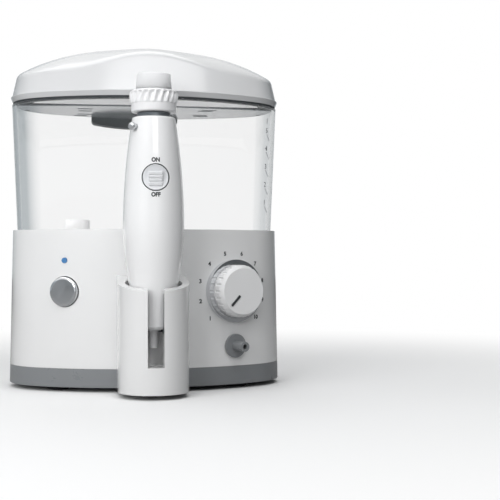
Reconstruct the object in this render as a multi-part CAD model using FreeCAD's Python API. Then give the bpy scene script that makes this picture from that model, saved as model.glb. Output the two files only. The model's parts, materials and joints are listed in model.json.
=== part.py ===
import FreeCAD, Part
import math
import os

Vec = FreeCAD.Vector

# Countertop oral irrigator. Millimetres, +Z up, front towards -Y, origin at the bottom centre.

# Fits
RUN_GAP = 0.06  # radial clearance of a part that turns or slides on another
FIT_GAP = 0.4  # gap round a part that drops into another
SEAT_GAP = 0.15  # gap behind a part held against a curved wall
PRESS_GAP = 0.02  # gap of a pressed-in pin within one body

# Water tank
TANK_HALF_W = 89.8
TANK_HALF_D = 54.0
TANK_END_R = 39.0
TANK_H = 94.0
TANK_DRAFT = 4.0  # how much each side leans in from mouth to floor
TANK_WALL = 2.6
TANK_FLOOR = 3.0
LEDGE_W = 1.2  # step inside the mouth that carries the tip tray
LEDGE_DROP = 1.0

# Lid
LID_OVERHANG = 1.0
LID_GAP = 0.3
LID_WALL = 2.4
LID_LIP_H = 4.0
LID_LIP_STEP = 0.6
LID_SIDE_H = 20.0  # crease height at the ends
LID_BUMP = 7.0  # extra crease height in the middle of the front
LID_BUMP_SPAN = 0.76  # share of the half width that the raised part of the crease takes
LID_LEAN = 7.0  # inset of the side wall at the crease
LID_H = 38.5
LID_CROWN = 2.8  # power of the fall from the top to the crease

# Lid hinge
HINGE_OUT = 4.2  # pin axis behind the lid rim
HINGE_R = 3.5
HINGE_PIN_R = 1.5
HINGE_X = -5.0  # middle of the hinge, left of the tank's middle
KNUCKLE_HALF = 23.0
EAR_W = 7.0
BRACKET_H = 8.0
BRACKET_END_H = 4.0

# Tip tray and tips
TRAY_T = 1.2
TRAY_DEPTH = 69.0  # from the back of the tank to the front edge, in the middle
TRAY_BOW = 10.0  # how far the front edge falls back towards the ends
SLOT_L = 10.0
SLOT_W = 4.0
TIP_PITCH = 24.0
TIP_COUNT = 4
TIP_SHANK_R = 3.5
TIP_SHANK_L = 9.0
TIP_FLANGE_R = 5.5
TIP_RING_R = 5.0
TIP_L = 52.0
TIP_BACK = 13.0  # ends of the tips ahead of the back of the tank

# Base
FOOT_H = 3.0
FOOT_R = 7.0
FOOT_INSET_X = 30.5  # foot axes in from the rim of the base
FOOT_INSET_Y = 27.5
BASE_H = 101.0  # from the base underside to its rim
BASE_FLARE = 2.0  # base wider at the bottom than at the rim
BASE_WALL = 2.5
SEAT_DEPTH = 10.0  # how deep the tank stands in the base
DECK_T = 3.0
SKIRT_H = 12.0  # height of the lower tray of the base
SKIRT_FLOOR = 3.0
SKIRT_LAP = 4.0
POST_R = 3.0
POST_INSET = 9.2  # screw posts in from the ends of the base rim
POST_SPREAD = 6.0
SCREW_R = 1.5
SCREW_HEAD_R = 3.0

# Handpiece, as radius at a share of its length
HANDLE_CLEAR = 0.6  # gap between the lid rim and the widest part of the grip
HANDLE_LOW = 42.0
HANDLE_L = 130.2
HANDLE_FOOT_R = 13.0
HANDLE_GRIP_R = 18.8
HANDLE_TOP_R = 13.5
HANDLE_WALL = 2.2
NECK_R = 10.3
NECK_H = 3.2
SPINDLE_R = 6.0
RING_R = 15.1
RING_H = 13.6
RING_STEP = 1.0  # smooth band below the ridges, set in from them
RING_RIDGES = 22
RING_GROOVE = 1.3
RING_LEAN = 0.22  # radians that a groove leans round towards its top
CAP_R = 11.2
CAP_H = 10.2
SWITCH_UP = 92.4  # switch centre above the handle's lower end
SWITCH_R = 7.9
SWITCH_TRAVEL = 3.0
EJECT_UP = 123.8
EJECT_R = 2.5
EJECT_AZIMUTH = 54.0  # degrees round from the front, towards -X
EJECT_TRAVEL = 1.5

# Handle cradle
CRADLE_R = 22.0
CRADLE_TOP = 66.0
CRADLE_RISE = 8.0  # top edge higher at the tank than at the front
CUP_WALL = 3.0
CUP_FLOOR = 2.0
LINER_T = 1.6
HOSE_SLOT_W = 10.0

# Controls
CONTROL_INSET = 35.0  # dial and button in from the ends of the tank
CONTROL_Z = 64.0
DIAL_R = 17.0
DIAL_H = 11.0
DIAL_CAP_H = 3.0
BEZEL_R = 20.5
BUTTON_R = 9.5
BUTTON_OUT = 2.6
BUTTON_TRAVEL = 1.5
LED_R = 1.8
STEM_R = 3.0

# Pump
PUMP_Z = 42.0
CRANK_X = 18.0
CRANK_R = 5.0
CRANK_PIN_R = 1.8
GEAR_MODULE = 1.0
GEAR_TEETH = 40
PINION_TEETH = 16
GEAR_T = 6.0
GEAR_BACKLASH = 0.3
PISTON_R = 7.0
PISTON_L = 14.0
YOKE_T = 4.0
YOKE_SLACK = 1.2
FRAME_T = 3.0
MOTOR_R = 15.0
MOTOR_L = 27.0
HOSE_R = 3.8
BARB_R = 2.6
BARB_L = 9.0

# Heights and places that follow
BASE_LOW = FOOT_H
BASE_TOP = BASE_LOW + BASE_H
SEAT_Z = BASE_TOP - SEAT_DEPTH
RIM_Z = SEAT_Z + TANK_H
LID_Z = RIM_Z + LID_GAP
HANDLE_OFFSET = TANK_HALF_D + LID_OVERHANG + HANDLE_GRIP_R + HANDLE_CLEAR
TANK_Y = (HANDLE_OFFSET + CRADLE_R - TANK_HALF_D - LID_OVERHANG - HINGE_OUT - HINGE_R) / 2
HANDLE_Y = TANK_Y - HANDLE_OFFSET
TRAY_FRONT = TRAY_DEPTH - TANK_HALF_D  # front edge ahead of the tank centre
HANDLE_TOP = HANDLE_LOW + HANDLE_L
RING_Z = HANDLE_TOP + NECK_H
CAP_Z = RING_Z + RING_H
SKIRT_TOP = BASE_LOW + SKIRT_H
FLOOR_Z = BASE_LOW + SKIRT_FLOOR


class Oval:
    """Outline of two end arcs and two long arcs, symmetric about both of its axes."""

    def __init__(self, half_x, half_y, end_r):
        self.half_x = half_x
        self.half_y = half_y
        self.end_r = end_r
        self.end_x = half_x - end_r
        self.long_r = (self.end_x ** 2 + half_y ** 2 - end_r ** 2) / (2 * (half_y - end_r))
        self.long_y = self.long_r - half_y
        span = self.long_r - end_r
        self.join_x = self.end_x + end_r * self.end_x / span
        self.join_y = end_r * self.long_y / span

    def grown(self, by):
        return Oval(self.half_x + by, self.half_y + by, self.end_r + by)

    def reach(self, x):
        """Half depth of the outline at x."""
        if abs(x) <= self.join_x:
            return math.sqrt(self.long_r ** 2 - x ** 2) - self.long_y
        return math.sqrt(max(0.0, self.end_r ** 2 - (abs(x) - self.end_x) ** 2))

    def wire(self, z):
        def at(x, y):
            return Vec(x, TANK_Y + y, z)

        x, y = self.join_x, self.join_y
        arcs = [
            Part.Arc(at(x, -y), at(self.half_x, 0), at(x, y)),
            Part.Arc(at(x, y), at(0, self.half_y), at(-x, y)),
            Part.Arc(at(-x, y), at(-self.half_x, 0), at(-x, -y)),
            Part.Arc(at(-x, -y), at(0, -self.half_y), at(x, -y)),
        ]
        return Part.Wire([arc.toShape() for arc in arcs])


def prism(oval, low, high):
    return Part.Face(oval.wire(low)).extrude(Vec(0, 0, high - low))


def tapered(oval_low, low, oval_high, high):
    return Part.makeLoft([oval_low.wire(low), oval_high.wire(high)], True, True)


def upright(radius, low, high, x=0.0, y=0.0):
    return Part.makeCylinder(radius, high - low, Vec(x, y, low))


def rod(radius, start, end):
    return Part.makeCylinder(radius, (end - start).Length, start, end - start)


def box(x, y, z):
    """Box between two limits on each axis."""
    return Part.makeBox(x[1] - x[0], y[1] - y[0], z[1] - z[0], Vec(x[0], y[0], z[0]))


def turned(points, x=0.0, y=0.0):
    """Solid of revolution about an upright axis, from a closed outline of (radius, height)."""
    outline = [Vec(x + radius, y, z) for radius, z in points]
    face = Part.Face(Part.makePolygon(outline + outline[:1]))
    return face.revolve(Vec(x, y, 0), Vec(0, 0, 1), 360)


def fused(shapes):
    solid = shapes[0]
    for shape in shapes[1:]:
        solid = solid.fuse(shape)
    return solid.removeSplitter()


def cut(solid, tools):
    for tool in tools:
        solid = solid.cut(tool)
    return solid


def route(points):
    """Path of straight runs joined by arcs as large as the runs leave room for."""
    edges = []
    start = points[0]
    for before, corner, after in zip(points, points[1:], points[2:]):
        come = corner - before
        leave = after - corner
        turn = come.getAngle(leave)
        trim = 0.45 * min(come.Length, leave.Length)
        come.normalize()
        leave.normalize()
        radius = trim / math.tan(turn / 2)
        inward = (leave - come).normalize()
        first = corner - come * trim
        last = corner + leave * trim
        middle = corner + inward * (radius / math.cos(turn / 2) - radius)
        edges.append(Part.LineSegment(start, first).toShape())
        edges.append(Part.Arc(first, middle, last).toShape())
        start = last
    edges.append(Part.LineSegment(start, points[-1]).toShape())
    return Part.Wire(edges)


def pipe(points, radius):
    path = route(points)
    ring = Part.Circle(points[0], points[1] - points[0], radius).toShape()
    return path.makePipeShell([Part.Wire(ring)], True, False)


def hose(points):
    return pipe(points, HOSE_R).cut(pipe(points, BARB_R + RUN_GAP))


def gear(teeth, thickness, first_tooth):
    """Involute spur gear on the XY plane, its first tooth centred at an angle in radians."""
    pressure = math.radians(20)
    pitch_r = GEAR_MODULE * teeth / 2
    base_r = pitch_r * math.cos(pressure)
    tip_r = pitch_r + 0.8 * GEAR_MODULE
    root_r = pitch_r - 1.1 * GEAR_MODULE
    half = (math.pi * GEAR_MODULE - GEAR_BACKLASH) / (4 * pitch_r)

    def flank(radius):
        angle = math.acos(base_r / radius)
        return half + math.tan(pressure) - pressure - math.tan(angle) + angle

    start_r = max(base_r, root_r) * 1.0001
    radii = [start_r + (tip_r - start_r) * step / 4 for step in range(5)]
    outline = []
    for tooth in range(teeth):
        centre = first_tooth + tooth * 2 * math.pi / teeth
        rising = [(root_r, -flank(start_r))] + [(radius, -flank(radius)) for radius in radii]
        falling = [(radius, -angle) for radius, angle in reversed(rising)]
        for radius, angle in rising + falling:
            turn = centre + angle
            outline.append(Vec(radius * math.cos(turn), radius * math.sin(turn), 0))
    face = Part.Face(Part.makePolygon(outline + outline[:1]))
    return face.extrude(Vec(0, 0, thickness))


def facing_front(shape, x, y, z):
    """Turn a shape built along +Z to point along -Y, and move its origin."""
    turned_shape = shape.copy()
    turned_shape.Placement = FreeCAD.Placement(Vec(x, y, z), FreeCAD.Rotation(Vec(1, 0, 0), 90))
    return turned_shape


# Outlines shared by the tank, the lid and the base
TANK_MOUTH = Oval(TANK_HALF_W, TANK_HALF_D, TANK_END_R)
TANK_BOTTOM = TANK_MOUTH.grown(-TANK_DRAFT)
LEDGE = TANK_MOUTH.grown(-TANK_WALL + LEDGE_W)
LID_RIM = TANK_MOUTH.grown(LID_OVERHANG)
SEAT_OVAL = TANK_BOTTOM.grown(TANK_DRAFT * SEAT_DEPTH / TANK_H + FIT_GAP)
BASE_RIM = SEAT_OVAL.grown(BASE_WALL)
BASE_FOOT = BASE_RIM.grown(BASE_FLARE)


def base_oval(z):
    """Outline of the base wall at a height."""
    return BASE_FOOT.grown(-BASE_FLARE * (z - BASE_LOW) / BASE_H)


class Wall:
    """Place on the front wall of the base, with its outward direction."""

    def __init__(self, origin, out):
        self.origin = origin
        self.out = out
        self.side = Vec(-out.y, out.x, 0)

    def at(self, out, side=0.0, up=0.0):
        return self.origin + self.out * out + self.side * side + Vec(0, 0, up)

    def disc(self, radius, inner, outer, up=0.0):
        return rod(radius, self.at(inner, 0, up), self.at(outer, 0, up))


def front_wall(x, z):
    oval = base_oval(z)
    y = oval.reach(x)
    return Wall(Vec(x, TANK_Y - y, z), Vec(x, -(y + oval.long_y), 0).normalize())


CONTROL_X = TANK_HALF_W - CONTROL_INSET
DIAL_WALL = front_wall(CONTROL_X, CONTROL_Z)
BUTTON_WALL = front_wall(-CONTROL_X, CONTROL_Z)
GLAND_R = 5.2
GLAND_LIP = 2.5
OUTLET_Z = SKIRT_TOP + SKIRT_LAP + GLAND_R + GLAND_LIP + 1.5
CORD_Z = OUTLET_Z
OUTLET_DROP = CONTROL_Z - OUTLET_Z
OUTLET_WALL = Wall(DIAL_WALL.at(BASE_FLARE * OUTLET_DROP / BASE_H, 0, -OUTLET_DROP), DIAL_WALL.out)

# Tank valve and the spigot below it
VALVE_Y = TANK_Y - 10.5
CAGE_R = 8.0
CAGE_BORE = 6.4
SPIGOT_R = 5.6
SPIGOT_TOP = SEAT_Z + 4.5
DECK_LOW = SEAT_Z - DECK_T

# Hinge axis of the lid
HINGE_Y = TANK_Y + LID_RIM.half_y + HINGE_OUT
HINGE_Z = LID_Z + HINGE_R - 0.6
BRACKET_HALF = KNUCKLE_HALF + FIT_GAP + EAR_W

# Pump layers, from the frame plate towards the front
FRAME_Y = TANK_Y - 2.0
GEAR_Y = FRAME_Y - 1.5
YOKE_Y = GEAR_Y - GEAR_T - 1.0
ROD_Y = YOKE_Y - YOKE_T / 2
PINION_X = CRANK_X + GEAR_MODULE * (GEAR_TEETH + PINION_TEETH) / 2
AXLE_R = 2.5
SHAFT_R = 1.5
PISTON_X = CRANK_X - 48.0  # closed end of the piston in mid stroke
BORE_OPEN = PISTON_X + PISTON_L + CRANK_R + 2.0
BORE_END = PISTON_X - CRANK_R - 2.0
HEAD_X = BORE_END - 12.0
VALVE_X = HEAD_X + 3.0
PUMP_TOP = PUMP_Z + PISTON_R + 3.0
PUMP_LOW = PUMP_Z - PISTON_R - 3.0
PUMP_FRONT = ROD_Y - PISTON_R - 3.0
OUTLET_Y = PUMP_FRONT - 5.0
FRAME_LOW = FLOOR_Z + 6.0
POST_X = BASE_RIM.half_x - POST_INSET
FOOT_X = BASE_RIM.half_x - FOOT_INSET_X
FOOT_Y = BASE_RIM.half_y - FOOT_INSET_Y
CORNERS = [(sx, sy) for sx in (-1, 1) for sy in (-1, 1)]
POSTS = [(sx * POST_X, TANK_Y + sy * POST_SPREAD) for sx, sy in CORNERS]
FEET = [(sx * FOOT_X, TANK_Y + sy * FOOT_Y) for sx, sy in CORNERS]
SWITCH_BODY_R = BUTTON_R + 3.5
LED_UP = (DECK_LOW - CONTROL_Z + SWITCH_BODY_R) / 2  # lamp midway between the switch and the deck
CRADLE_FOOT = (0.0, HANDLE_Y + 2.0)
FOOT_SINK = 0.6  # how deep the feet stand in their recesses
DAMPERS = [(x, FRAME_Y + y) for x in (HEAD_X + 15.0, PINION_X + 8.0) for y in (-9.0, 22.0)]

PARTS = {}


# Water tank
def tank_outer():
    return tapered(TANK_BOTTOM, SEAT_Z, TANK_MOUTH, RIM_Z)


def tank_oval(z):
    return TANK_BOTTOM.grown(TANK_DRAFT * (z - SEAT_Z) / TANK_H)


def make_tank():
    floor = SEAT_Z + TANK_FLOOR
    inside = tapered(tank_oval(floor).grown(-TANK_WALL), floor, TANK_MOUTH.grown(-TANK_WALL), RIM_Z)
    ledge = prism(LEDGE, RIM_Z - LEDGE_DROP, RIM_Z + 1)
    port = upright(CAGE_R + RUN_GAP, SEAT_Z - 1, floor + 1, VALVE_X, VALVE_Y)
    return cut(tank_outer(), [inside, ledge, port])


PARTS["water_tank"] = make_tank()

# Tank valve: the cage stands in the tank floor, the poppet is held open by the spigot
CAGE_LOW = SEAT_Z + FIT_GAP
CAGE_FLANGE = SEAT_Z + TANK_FLOOR
VALVE_SEAT = CAGE_FLANGE + 5.0
CAGE_ROOF = VALVE_SEAT + 7.0
POPPET_LIFT = 1.5
POPPET_Z = VALVE_SEAT + POPPET_LIFT
PARTS["valve_cage"] = cut(
    turned(
        [
            (0, CAGE_LOW),
            (CAGE_R, CAGE_LOW),
            (CAGE_R, CAGE_FLANGE),
            (CAGE_R + 2.5, CAGE_FLANGE),
            (CAGE_R + 2.5, CAGE_FLANGE + 2),
            (CAGE_R, CAGE_FLANGE + 2),
            (CAGE_R, CAGE_ROOF + 2),
            (0, CAGE_ROOF + 2),
        ],
        VALVE_X,
        VALVE_Y,
    ),
    [
        upright(CAGE_BORE, CAGE_LOW - 1, VALVE_SEAT - 1.5, VALVE_X, VALVE_Y),
        upright(3.4, CAGE_LOW, CAGE_ROOF, VALVE_X, VALVE_Y),
        upright(6.6, VALVE_SEAT, CAGE_ROOF, VALVE_X, VALVE_Y),
        upright(4.0, VALVE_SEAT, CAGE_ROOF + 3, VALVE_X, VALVE_Y),
    ],
)
PARTS["valve_poppet"] = fused(
    [
        upright(5.2, POPPET_Z, POPPET_Z + 2, VALVE_X, VALVE_Y),
        upright(1.5, SPIGOT_TOP + 0.5, POPPET_Z + 2, VALVE_X, VALVE_Y),
    ]
)


# Lid
def lid_crease(cosine, front):
    """Height of the crease above the rim, by direction from the centre."""
    rise = 0.0
    if front and abs(cosine) < LID_BUMP_SPAN:
        rise = LID_BUMP * math.cos(math.pi / 2 * cosine / LID_BUMP_SPAN) ** 2
    return LID_SIDE_H + rise


def lid_dome(drop):
    """Solid below the domed top of the lid, the top lowered by a wall thickness."""
    half_x = LID_RIM.half_x - LID_LEAN - LID_LIP_STEP
    half_y = LID_RIM.half_y - LID_LEAN - LID_LIP_STEP - 1.0
    rows = []
    for column in range(19):
        x = half_x * 1.12 * (column / 9 - 1)
        row = []
        for step in range(15):
            y = half_y * 1.2 * (step / 7 - 1)
            share = math.hypot(x / half_x, y / half_y)
            cosine = x / half_x / share if share > 1e-6 else 0.0
            crease = lid_crease(cosine, y < 0)
            height = LID_H - (LID_H - crease) * share ** LID_CROWN
            row.append(Vec(x, TANK_Y + y, LID_Z + height - drop))
        rows.append(row)
    surface = Part.BSplineSurface()
    surface.interpolate(rows)
    return surface.toShape().extrude(Vec(0, 0, -4 * LID_H))


def lid_solid(inset):
    rim = LID_RIM.grown(-inset)
    foot = rim.grown(-LID_LIP_STEP)
    top_h = LID_H + 4.0
    lean = LID_LEAN * (top_h - LID_LIP_H) / (LID_SIDE_H - LID_LIP_H)
    band = tapered(foot, LID_Z + LID_LIP_H, foot.grown(-lean), LID_Z + top_h)
    lip = prism(rim, LID_Z, LID_Z + LID_LIP_H)
    return lip.fuse(band.common(lid_dome(inset * 1.15)))


def hinge_bar(radius, low_x, high_x):
    """Round bar on the hinge axis between two places measured from the middle of the hinge."""
    return rod(radius, Vec(HINGE_X + low_x, HINGE_Y, HINGE_Z), Vec(HINGE_X + high_x, HINGE_Y, HINGE_Z))


def make_lid():
    web = box(
        (HINGE_X - KNUCKLE_HALF, HINGE_X + KNUCKLE_HALF),
        (TANK_Y + LID_RIM.reach(KNUCKLE_HALF + abs(HINGE_X)) - LID_WALL / 2, HINGE_Y),
        (LID_Z, HINGE_Z + HINGE_R - 1.0),
    )
    knuckle = hinge_bar(HINGE_R, -KNUCKLE_HALF, KNUCKLE_HALF)
    solid = fused([lid_solid(0.0), web, knuckle])
    bore = hinge_bar(HINGE_PIN_R + RUN_GAP, -2 * KNUCKLE_HALF, 2 * KNUCKLE_HALF)
    hollow = lid_solid(LID_WALL).fuse(prism(LID_RIM.grown(-LID_WALL), LID_Z - 1, LID_Z + 1))
    return cut(solid, [hollow, bore])


PARTS["lid_shell"] = make_lid()


# Hinge bracket on the back of the tank
def make_bracket():
    top = RIM_Z - 0.8
    low = top - BRACKET_H
    end_low = top - BRACKET_END_H
    back_y = HINGE_Y + HINGE_R
    left = Vec(HINGE_X - BRACKET_HALF, back_y, end_low)
    right = Vec(HINGE_X + BRACKET_HALF, back_y, end_low)
    left_top = Vec(left.x, back_y, top)
    right_top = Vec(right.x, back_y, top)
    edges = [
        Part.Arc(left, Vec(HINGE_X, back_y, low), right).toShape(),
        Part.makeLine(right, right_top),
        Part.makeLine(right_top, left_top),
        Part.makeLine(left_top, left),
    ]
    depth = HINGE_OUT + HINGE_R + TANK_MOUTH.half_y
    bar = Part.Face(Part.Wire(edges)).extrude(Vec(0, -depth, 0))
    ears = []
    for side in (-1, 1):
        near = side * (KNUCKLE_HALF + FIT_GAP)
        far = side * BRACKET_HALF
        ears.append(hinge_bar(HINGE_R, near, far))
        span = (HINGE_X + min(near, far), HINGE_X + max(near, far))
        ears.append(box(span, (HINGE_Y - HINGE_R, HINGE_Y + HINGE_R), (end_low, HINGE_Z)))
    clear = tapered(
        TANK_BOTTOM.grown(SEAT_GAP), SEAT_Z, TANK_MOUTH.grown(SEAT_GAP), RIM_Z
    )
    bore = hinge_bar(HINGE_PIN_R + PRESS_GAP, -2 * BRACKET_HALF, 2 * BRACKET_HALF)
    return cut(fused([bar.cut(clear)] + ears), [clear, bore])


PARTS["hinge_bracket"] = make_bracket()
PARTS["hinge_pin"] = hinge_bar(HINGE_PIN_R, -BRACKET_HALF, BRACKET_HALF)

# Tip tray: a plate over the rear of the mouth, on the ledge, with two notched ribs for the tips
TRAY_Z = RIM_Z - LEDGE_DROP
TRAY_TOP = TRAY_Z + TRAY_T
TIP_Z = TRAY_TOP + TIP_FLANGE_R + 0.6
TIP_Y = TANK_Y + TANK_HALF_D - TIP_BACK - TIP_L
TIP_XS = [TIP_PITCH * (i - (TIP_COUNT - 1) / 2) for i in range(TIP_COUNT)]
RIB_YS = [TIP_Y + 3.5, TIP_Y + 22.0]
RIB_T = 3.0


def tip_solid(x, gap=0.0):
    """One stored tip lying towards the back, grown by a clearance."""
    start = Vec(x, TIP_Y, TIP_Z)
    along = Vec(0, 1, 0)
    shank = Part.makeCylinder(TIP_SHANK_R + gap, TIP_SHANK_L, start, along)
    flange = Part.makeCylinder(TIP_FLANGE_R + gap, 2.5, start + along * TIP_SHANK_L, along)
    cone = Part.makeCone(TIP_SHANK_R + gap, 2.0 + gap, 14.0, start + along * (TIP_SHANK_L + 2.5), along)
    tube_l = TIP_L - TIP_SHANK_L - 2.5 - 14.0 - 4.0
    tube = Part.makeCone(2.0 + gap, 1.3 + gap, tube_l, start + along * (TIP_SHANK_L + 16.5), along)
    bend = start + along * (TIP_L - 4.0)
    ball = Part.makeSphere(1.3 + gap, bend)
    end = Part.makeCylinder(1.3 + gap, 7.0, bend, Vec(math.sin(1.1), math.cos(1.1), 0))
    return fused([shank, flange, cone, tube, ball, end])


def make_tray():
    half_w = TANK_HALF_W
    front = TANK_Y - TRAY_FRONT
    far = TANK_Y + TANK_HALF_D
    left = Vec(-half_w, front + TRAY_BOW, TRAY_Z)
    right = Vec(half_w, front + TRAY_BOW, TRAY_Z)
    edges = [
        Part.Arc(left, Vec(0, front, TRAY_Z), right).toShape(),
        Part.makeLine(right, Vec(half_w, far, TRAY_Z)),
        Part.makeLine(Vec(half_w, far, TRAY_Z), Vec(-half_w, far, TRAY_Z)),
        Part.makeLine(Vec(-half_w, far, TRAY_Z), left),
    ]
    keep = Part.Face(Part.Wire(edges)).extrude(Vec(0, 0, TRAY_T))
    plate = keep.common(prism(LEDGE.grown(-FIT_GAP), TRAY_Z, TRAY_TOP))
    rib_half = TIP_XS[-1] + TIP_FLANGE_R + 3.0
    ribs = [
        box((-rib_half, rib_half), (y - RIB_T / 2, y + RIB_T / 2), (TRAY_Z, TIP_Z)) for y in RIB_YS
    ]
    tools = [tip_solid(x, RUN_GAP) for x in TIP_XS]
    for y in RIB_YS:
        for x in TIP_XS:
            tools.append(box((x - 2.0, x + 2.0), (y - RIB_T, y + RIB_T), (TIP_Z, TIP_Z + 1)))
    for x in (-41.0, 0.0, 41.0):
        for y in (TANK_Y + 1.5, TANK_Y + 30.0):
            span_x = (x - SLOT_L / 2, x + SLOT_L / 2)
            span_y = (y - SLOT_W / 2, y + SLOT_W / 2)
            tools.append(box(span_x, span_y, (TRAY_Z - 1, TRAY_TOP + 0.01)))
    return cut(fused([plate] + ribs), tools)


PARTS["tip_tray"] = make_tray()
for number, tip_x in enumerate(TIP_XS, 1):
    tip = tip_solid(tip_x)
    ring_start = Vec(tip_x, TIP_Y + TIP_SHANK_L + 2.5 + 0.1, TIP_Z)
    band = Part.makeCylinder(TIP_RING_R, 3.5, ring_start, Vec(0, 1, 0))
    PARTS[f"jet_tip_{number}"] = tip
    PARTS[f"tip_ring_{number}"] = band.cut(tip_solid(tip_x, PRESS_GAP))


# Base shell, its lower tray, feet and screws
def base_solid(inset, low, high):
    return tapered(base_oval(low).grown(-inset), low, base_oval(high).grown(-inset), high)


def make_base_shell():
    shell = base_solid(0.0, SKIRT_TOP, BASE_TOP)
    inside = base_solid(BASE_WALL, SKIRT_TOP - 1, DECK_LOW)
    seat = prism(SEAT_OVAL, SEAT_Z, BASE_TOP + 1)
    posts = [upright(POST_R, FLOOR_Z, SEAT_Z - 1, x, y) for x, y in POSTS]
    solid = fused([cut(shell, [inside, seat])] + posts)
    tools = [upright(SCREW_R + RUN_GAP, FLOOR_Z - 1, FLOOR_Z + 14, x, y) for x, y in POSTS]
    tools.append(upright(SPIGOT_R + RUN_GAP, DECK_LOW - 1, SEAT_Z + 1, VALVE_X, VALVE_Y))
    tools.append(DIAL_WALL.disc(STEM_R + FIT_GAP, -3 * BASE_WALL, BASE_WALL))
    tools.append(BUTTON_WALL.disc(BUTTON_R + FIT_GAP, -3 * BASE_WALL, 2 * BASE_WALL))
    tools.append(BUTTON_WALL.disc(LED_R + RUN_GAP, -3 * BASE_WALL, 2 * BASE_WALL, LED_UP))
    tools.append(OUTLET_WALL.disc(GLAND_R + RUN_GAP, -3 * BASE_WALL, 2 * BASE_WALL))
    behind = TANK_Y + 2 * TANK_HALF_D
    tools.append(rod(GLAND_R + RUN_GAP, Vec(0, TANK_Y, CORD_Z), Vec(0, behind, CORD_Z)))
    return cut(solid, tools)


def make_base_tray():
    outer = base_solid(0.0, BASE_LOW, SKIRT_TOP)
    inside = base_solid(BASE_WALL + 1.6, FLOOR_Z, SKIRT_TOP + 1)
    lap_top = SKIRT_TOP + SKIRT_LAP
    lap = base_solid(BASE_WALL + FIT_GAP, FLOOR_Z, lap_top).cut(
        base_solid(BASE_WALL + FIT_GAP + 1.6, FLOOR_Z, lap_top)
    )
    solid = fused([outer.cut(inside), lap])
    tools = [upright(SCREW_R + RUN_GAP, BASE_LOW - 1, FLOOR_Z + 1, x, y) for x, y in POSTS]
    tools += [upright(SCREW_HEAD_R + FIT_GAP, BASE_LOW - 1, BASE_LOW + 1.6, x, y) for x, y in POSTS]
    tools += [foot_recess(x, y) for x, y in FEET]
    return cut(solid, tools)


def foot_recess(x, y):
    return upright(FOOT_R + RUN_GAP, BASE_LOW - 1, BASE_LOW + FOOT_SINK, x, y)


def make_foot(x, y):
    top = BASE_LOW + FOOT_SINK
    return turned([(0, 0), (FOOT_R - 0.8, 0), (FOOT_R, 0.8), (FOOT_R, top), (0, top)], x, y)


PARTS["base_shell"] = make_base_shell()
PARTS["base_tray"] = make_base_tray()
PARTS["rubber_feet"] = Part.makeCompound([make_foot(x, y) for x, y in FEET + [CRADLE_FOOT]])
PARTS["base_screws"] = Part.makeCompound(
    [
        fused(
            [
                upright(SCREW_HEAD_R, BASE_LOW + 0.1, BASE_LOW + 1.6, x, y),
                upright(SCREW_R, BASE_LOW + 0.1, FLOOR_Z + 12, x, y),
            ]
        ).cut(box((x - 2.2, x + 2.2), (y - 0.4, y + 0.4), (BASE_LOW, BASE_LOW + 0.9)))
        for x, y in POSTS
    ]
)

# Handpiece outline, shared by its shells, the cradle and the liner
HANDLE_STATIONS = [
    (0.0, HANDLE_FOOT_R),
    (0.15, 0.82 * HANDLE_FOOT_R + 0.2 * HANDLE_GRIP_R),
    (0.36, HANDLE_GRIP_R - 0.6),
    (0.55, HANDLE_GRIP_R),
    (0.72, 0.2 * HANDLE_TOP_R + 0.8 * HANDLE_GRIP_R),
    (0.88, 0.58 * HANDLE_TOP_R + 0.42 * HANDLE_GRIP_R),
    (1.0, HANDLE_TOP_R),
]
HANDLE_ROUND = 1.6  # chamfer height at both ends


def handle_solid(grow):
    """Solid of the handpiece outline grown or shrunk all round."""
    low = HANDLE_LOW - grow
    high = HANDLE_TOP + grow
    start = low + HANDLE_ROUND
    span = high - HANDLE_ROUND - start
    points = [Vec(radius + grow, HANDLE_Y, start + share * span) for share, radius in HANDLE_STATIONS]
    side = Part.BSplineCurve()
    side.interpolate(points)
    corners = [
        points[-1],
        Vec(points[-1].x - HANDLE_ROUND, HANDLE_Y, high),
        Vec(0, HANDLE_Y, high),
        Vec(0, HANDLE_Y, low),
        Vec(points[0].x - HANDLE_ROUND, HANDLE_Y, low),
        points[0],
    ]
    outline = Part.Wire([side.toShape()] + Part.makePolygon(corners).Edges)
    return Part.Face(outline).revolve(Vec(0, HANDLE_Y, 0), Vec(0, 0, 1), 360)


# Handle cradle: a nose on the front of the base with a cup for the handpiece
CUP_R = HANDLE_FOOT_R + 3.0 + LINER_T
CUP_Z = HANDLE_LOW - CUP_FLOOR - FIT_GAP
WELL_R = 7.0
WELL_Z = CUP_Z - 20.0


def nose(inset, low, high):
    """Round-fronted block from the handle axis back to the tank centre."""
    radius = CRADLE_R - inset
    return upright(radius, low, high, 0, HANDLE_Y).fuse(
        box((-radius, radius), (HANDLE_Y, TANK_Y), (low, high))
    )


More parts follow.
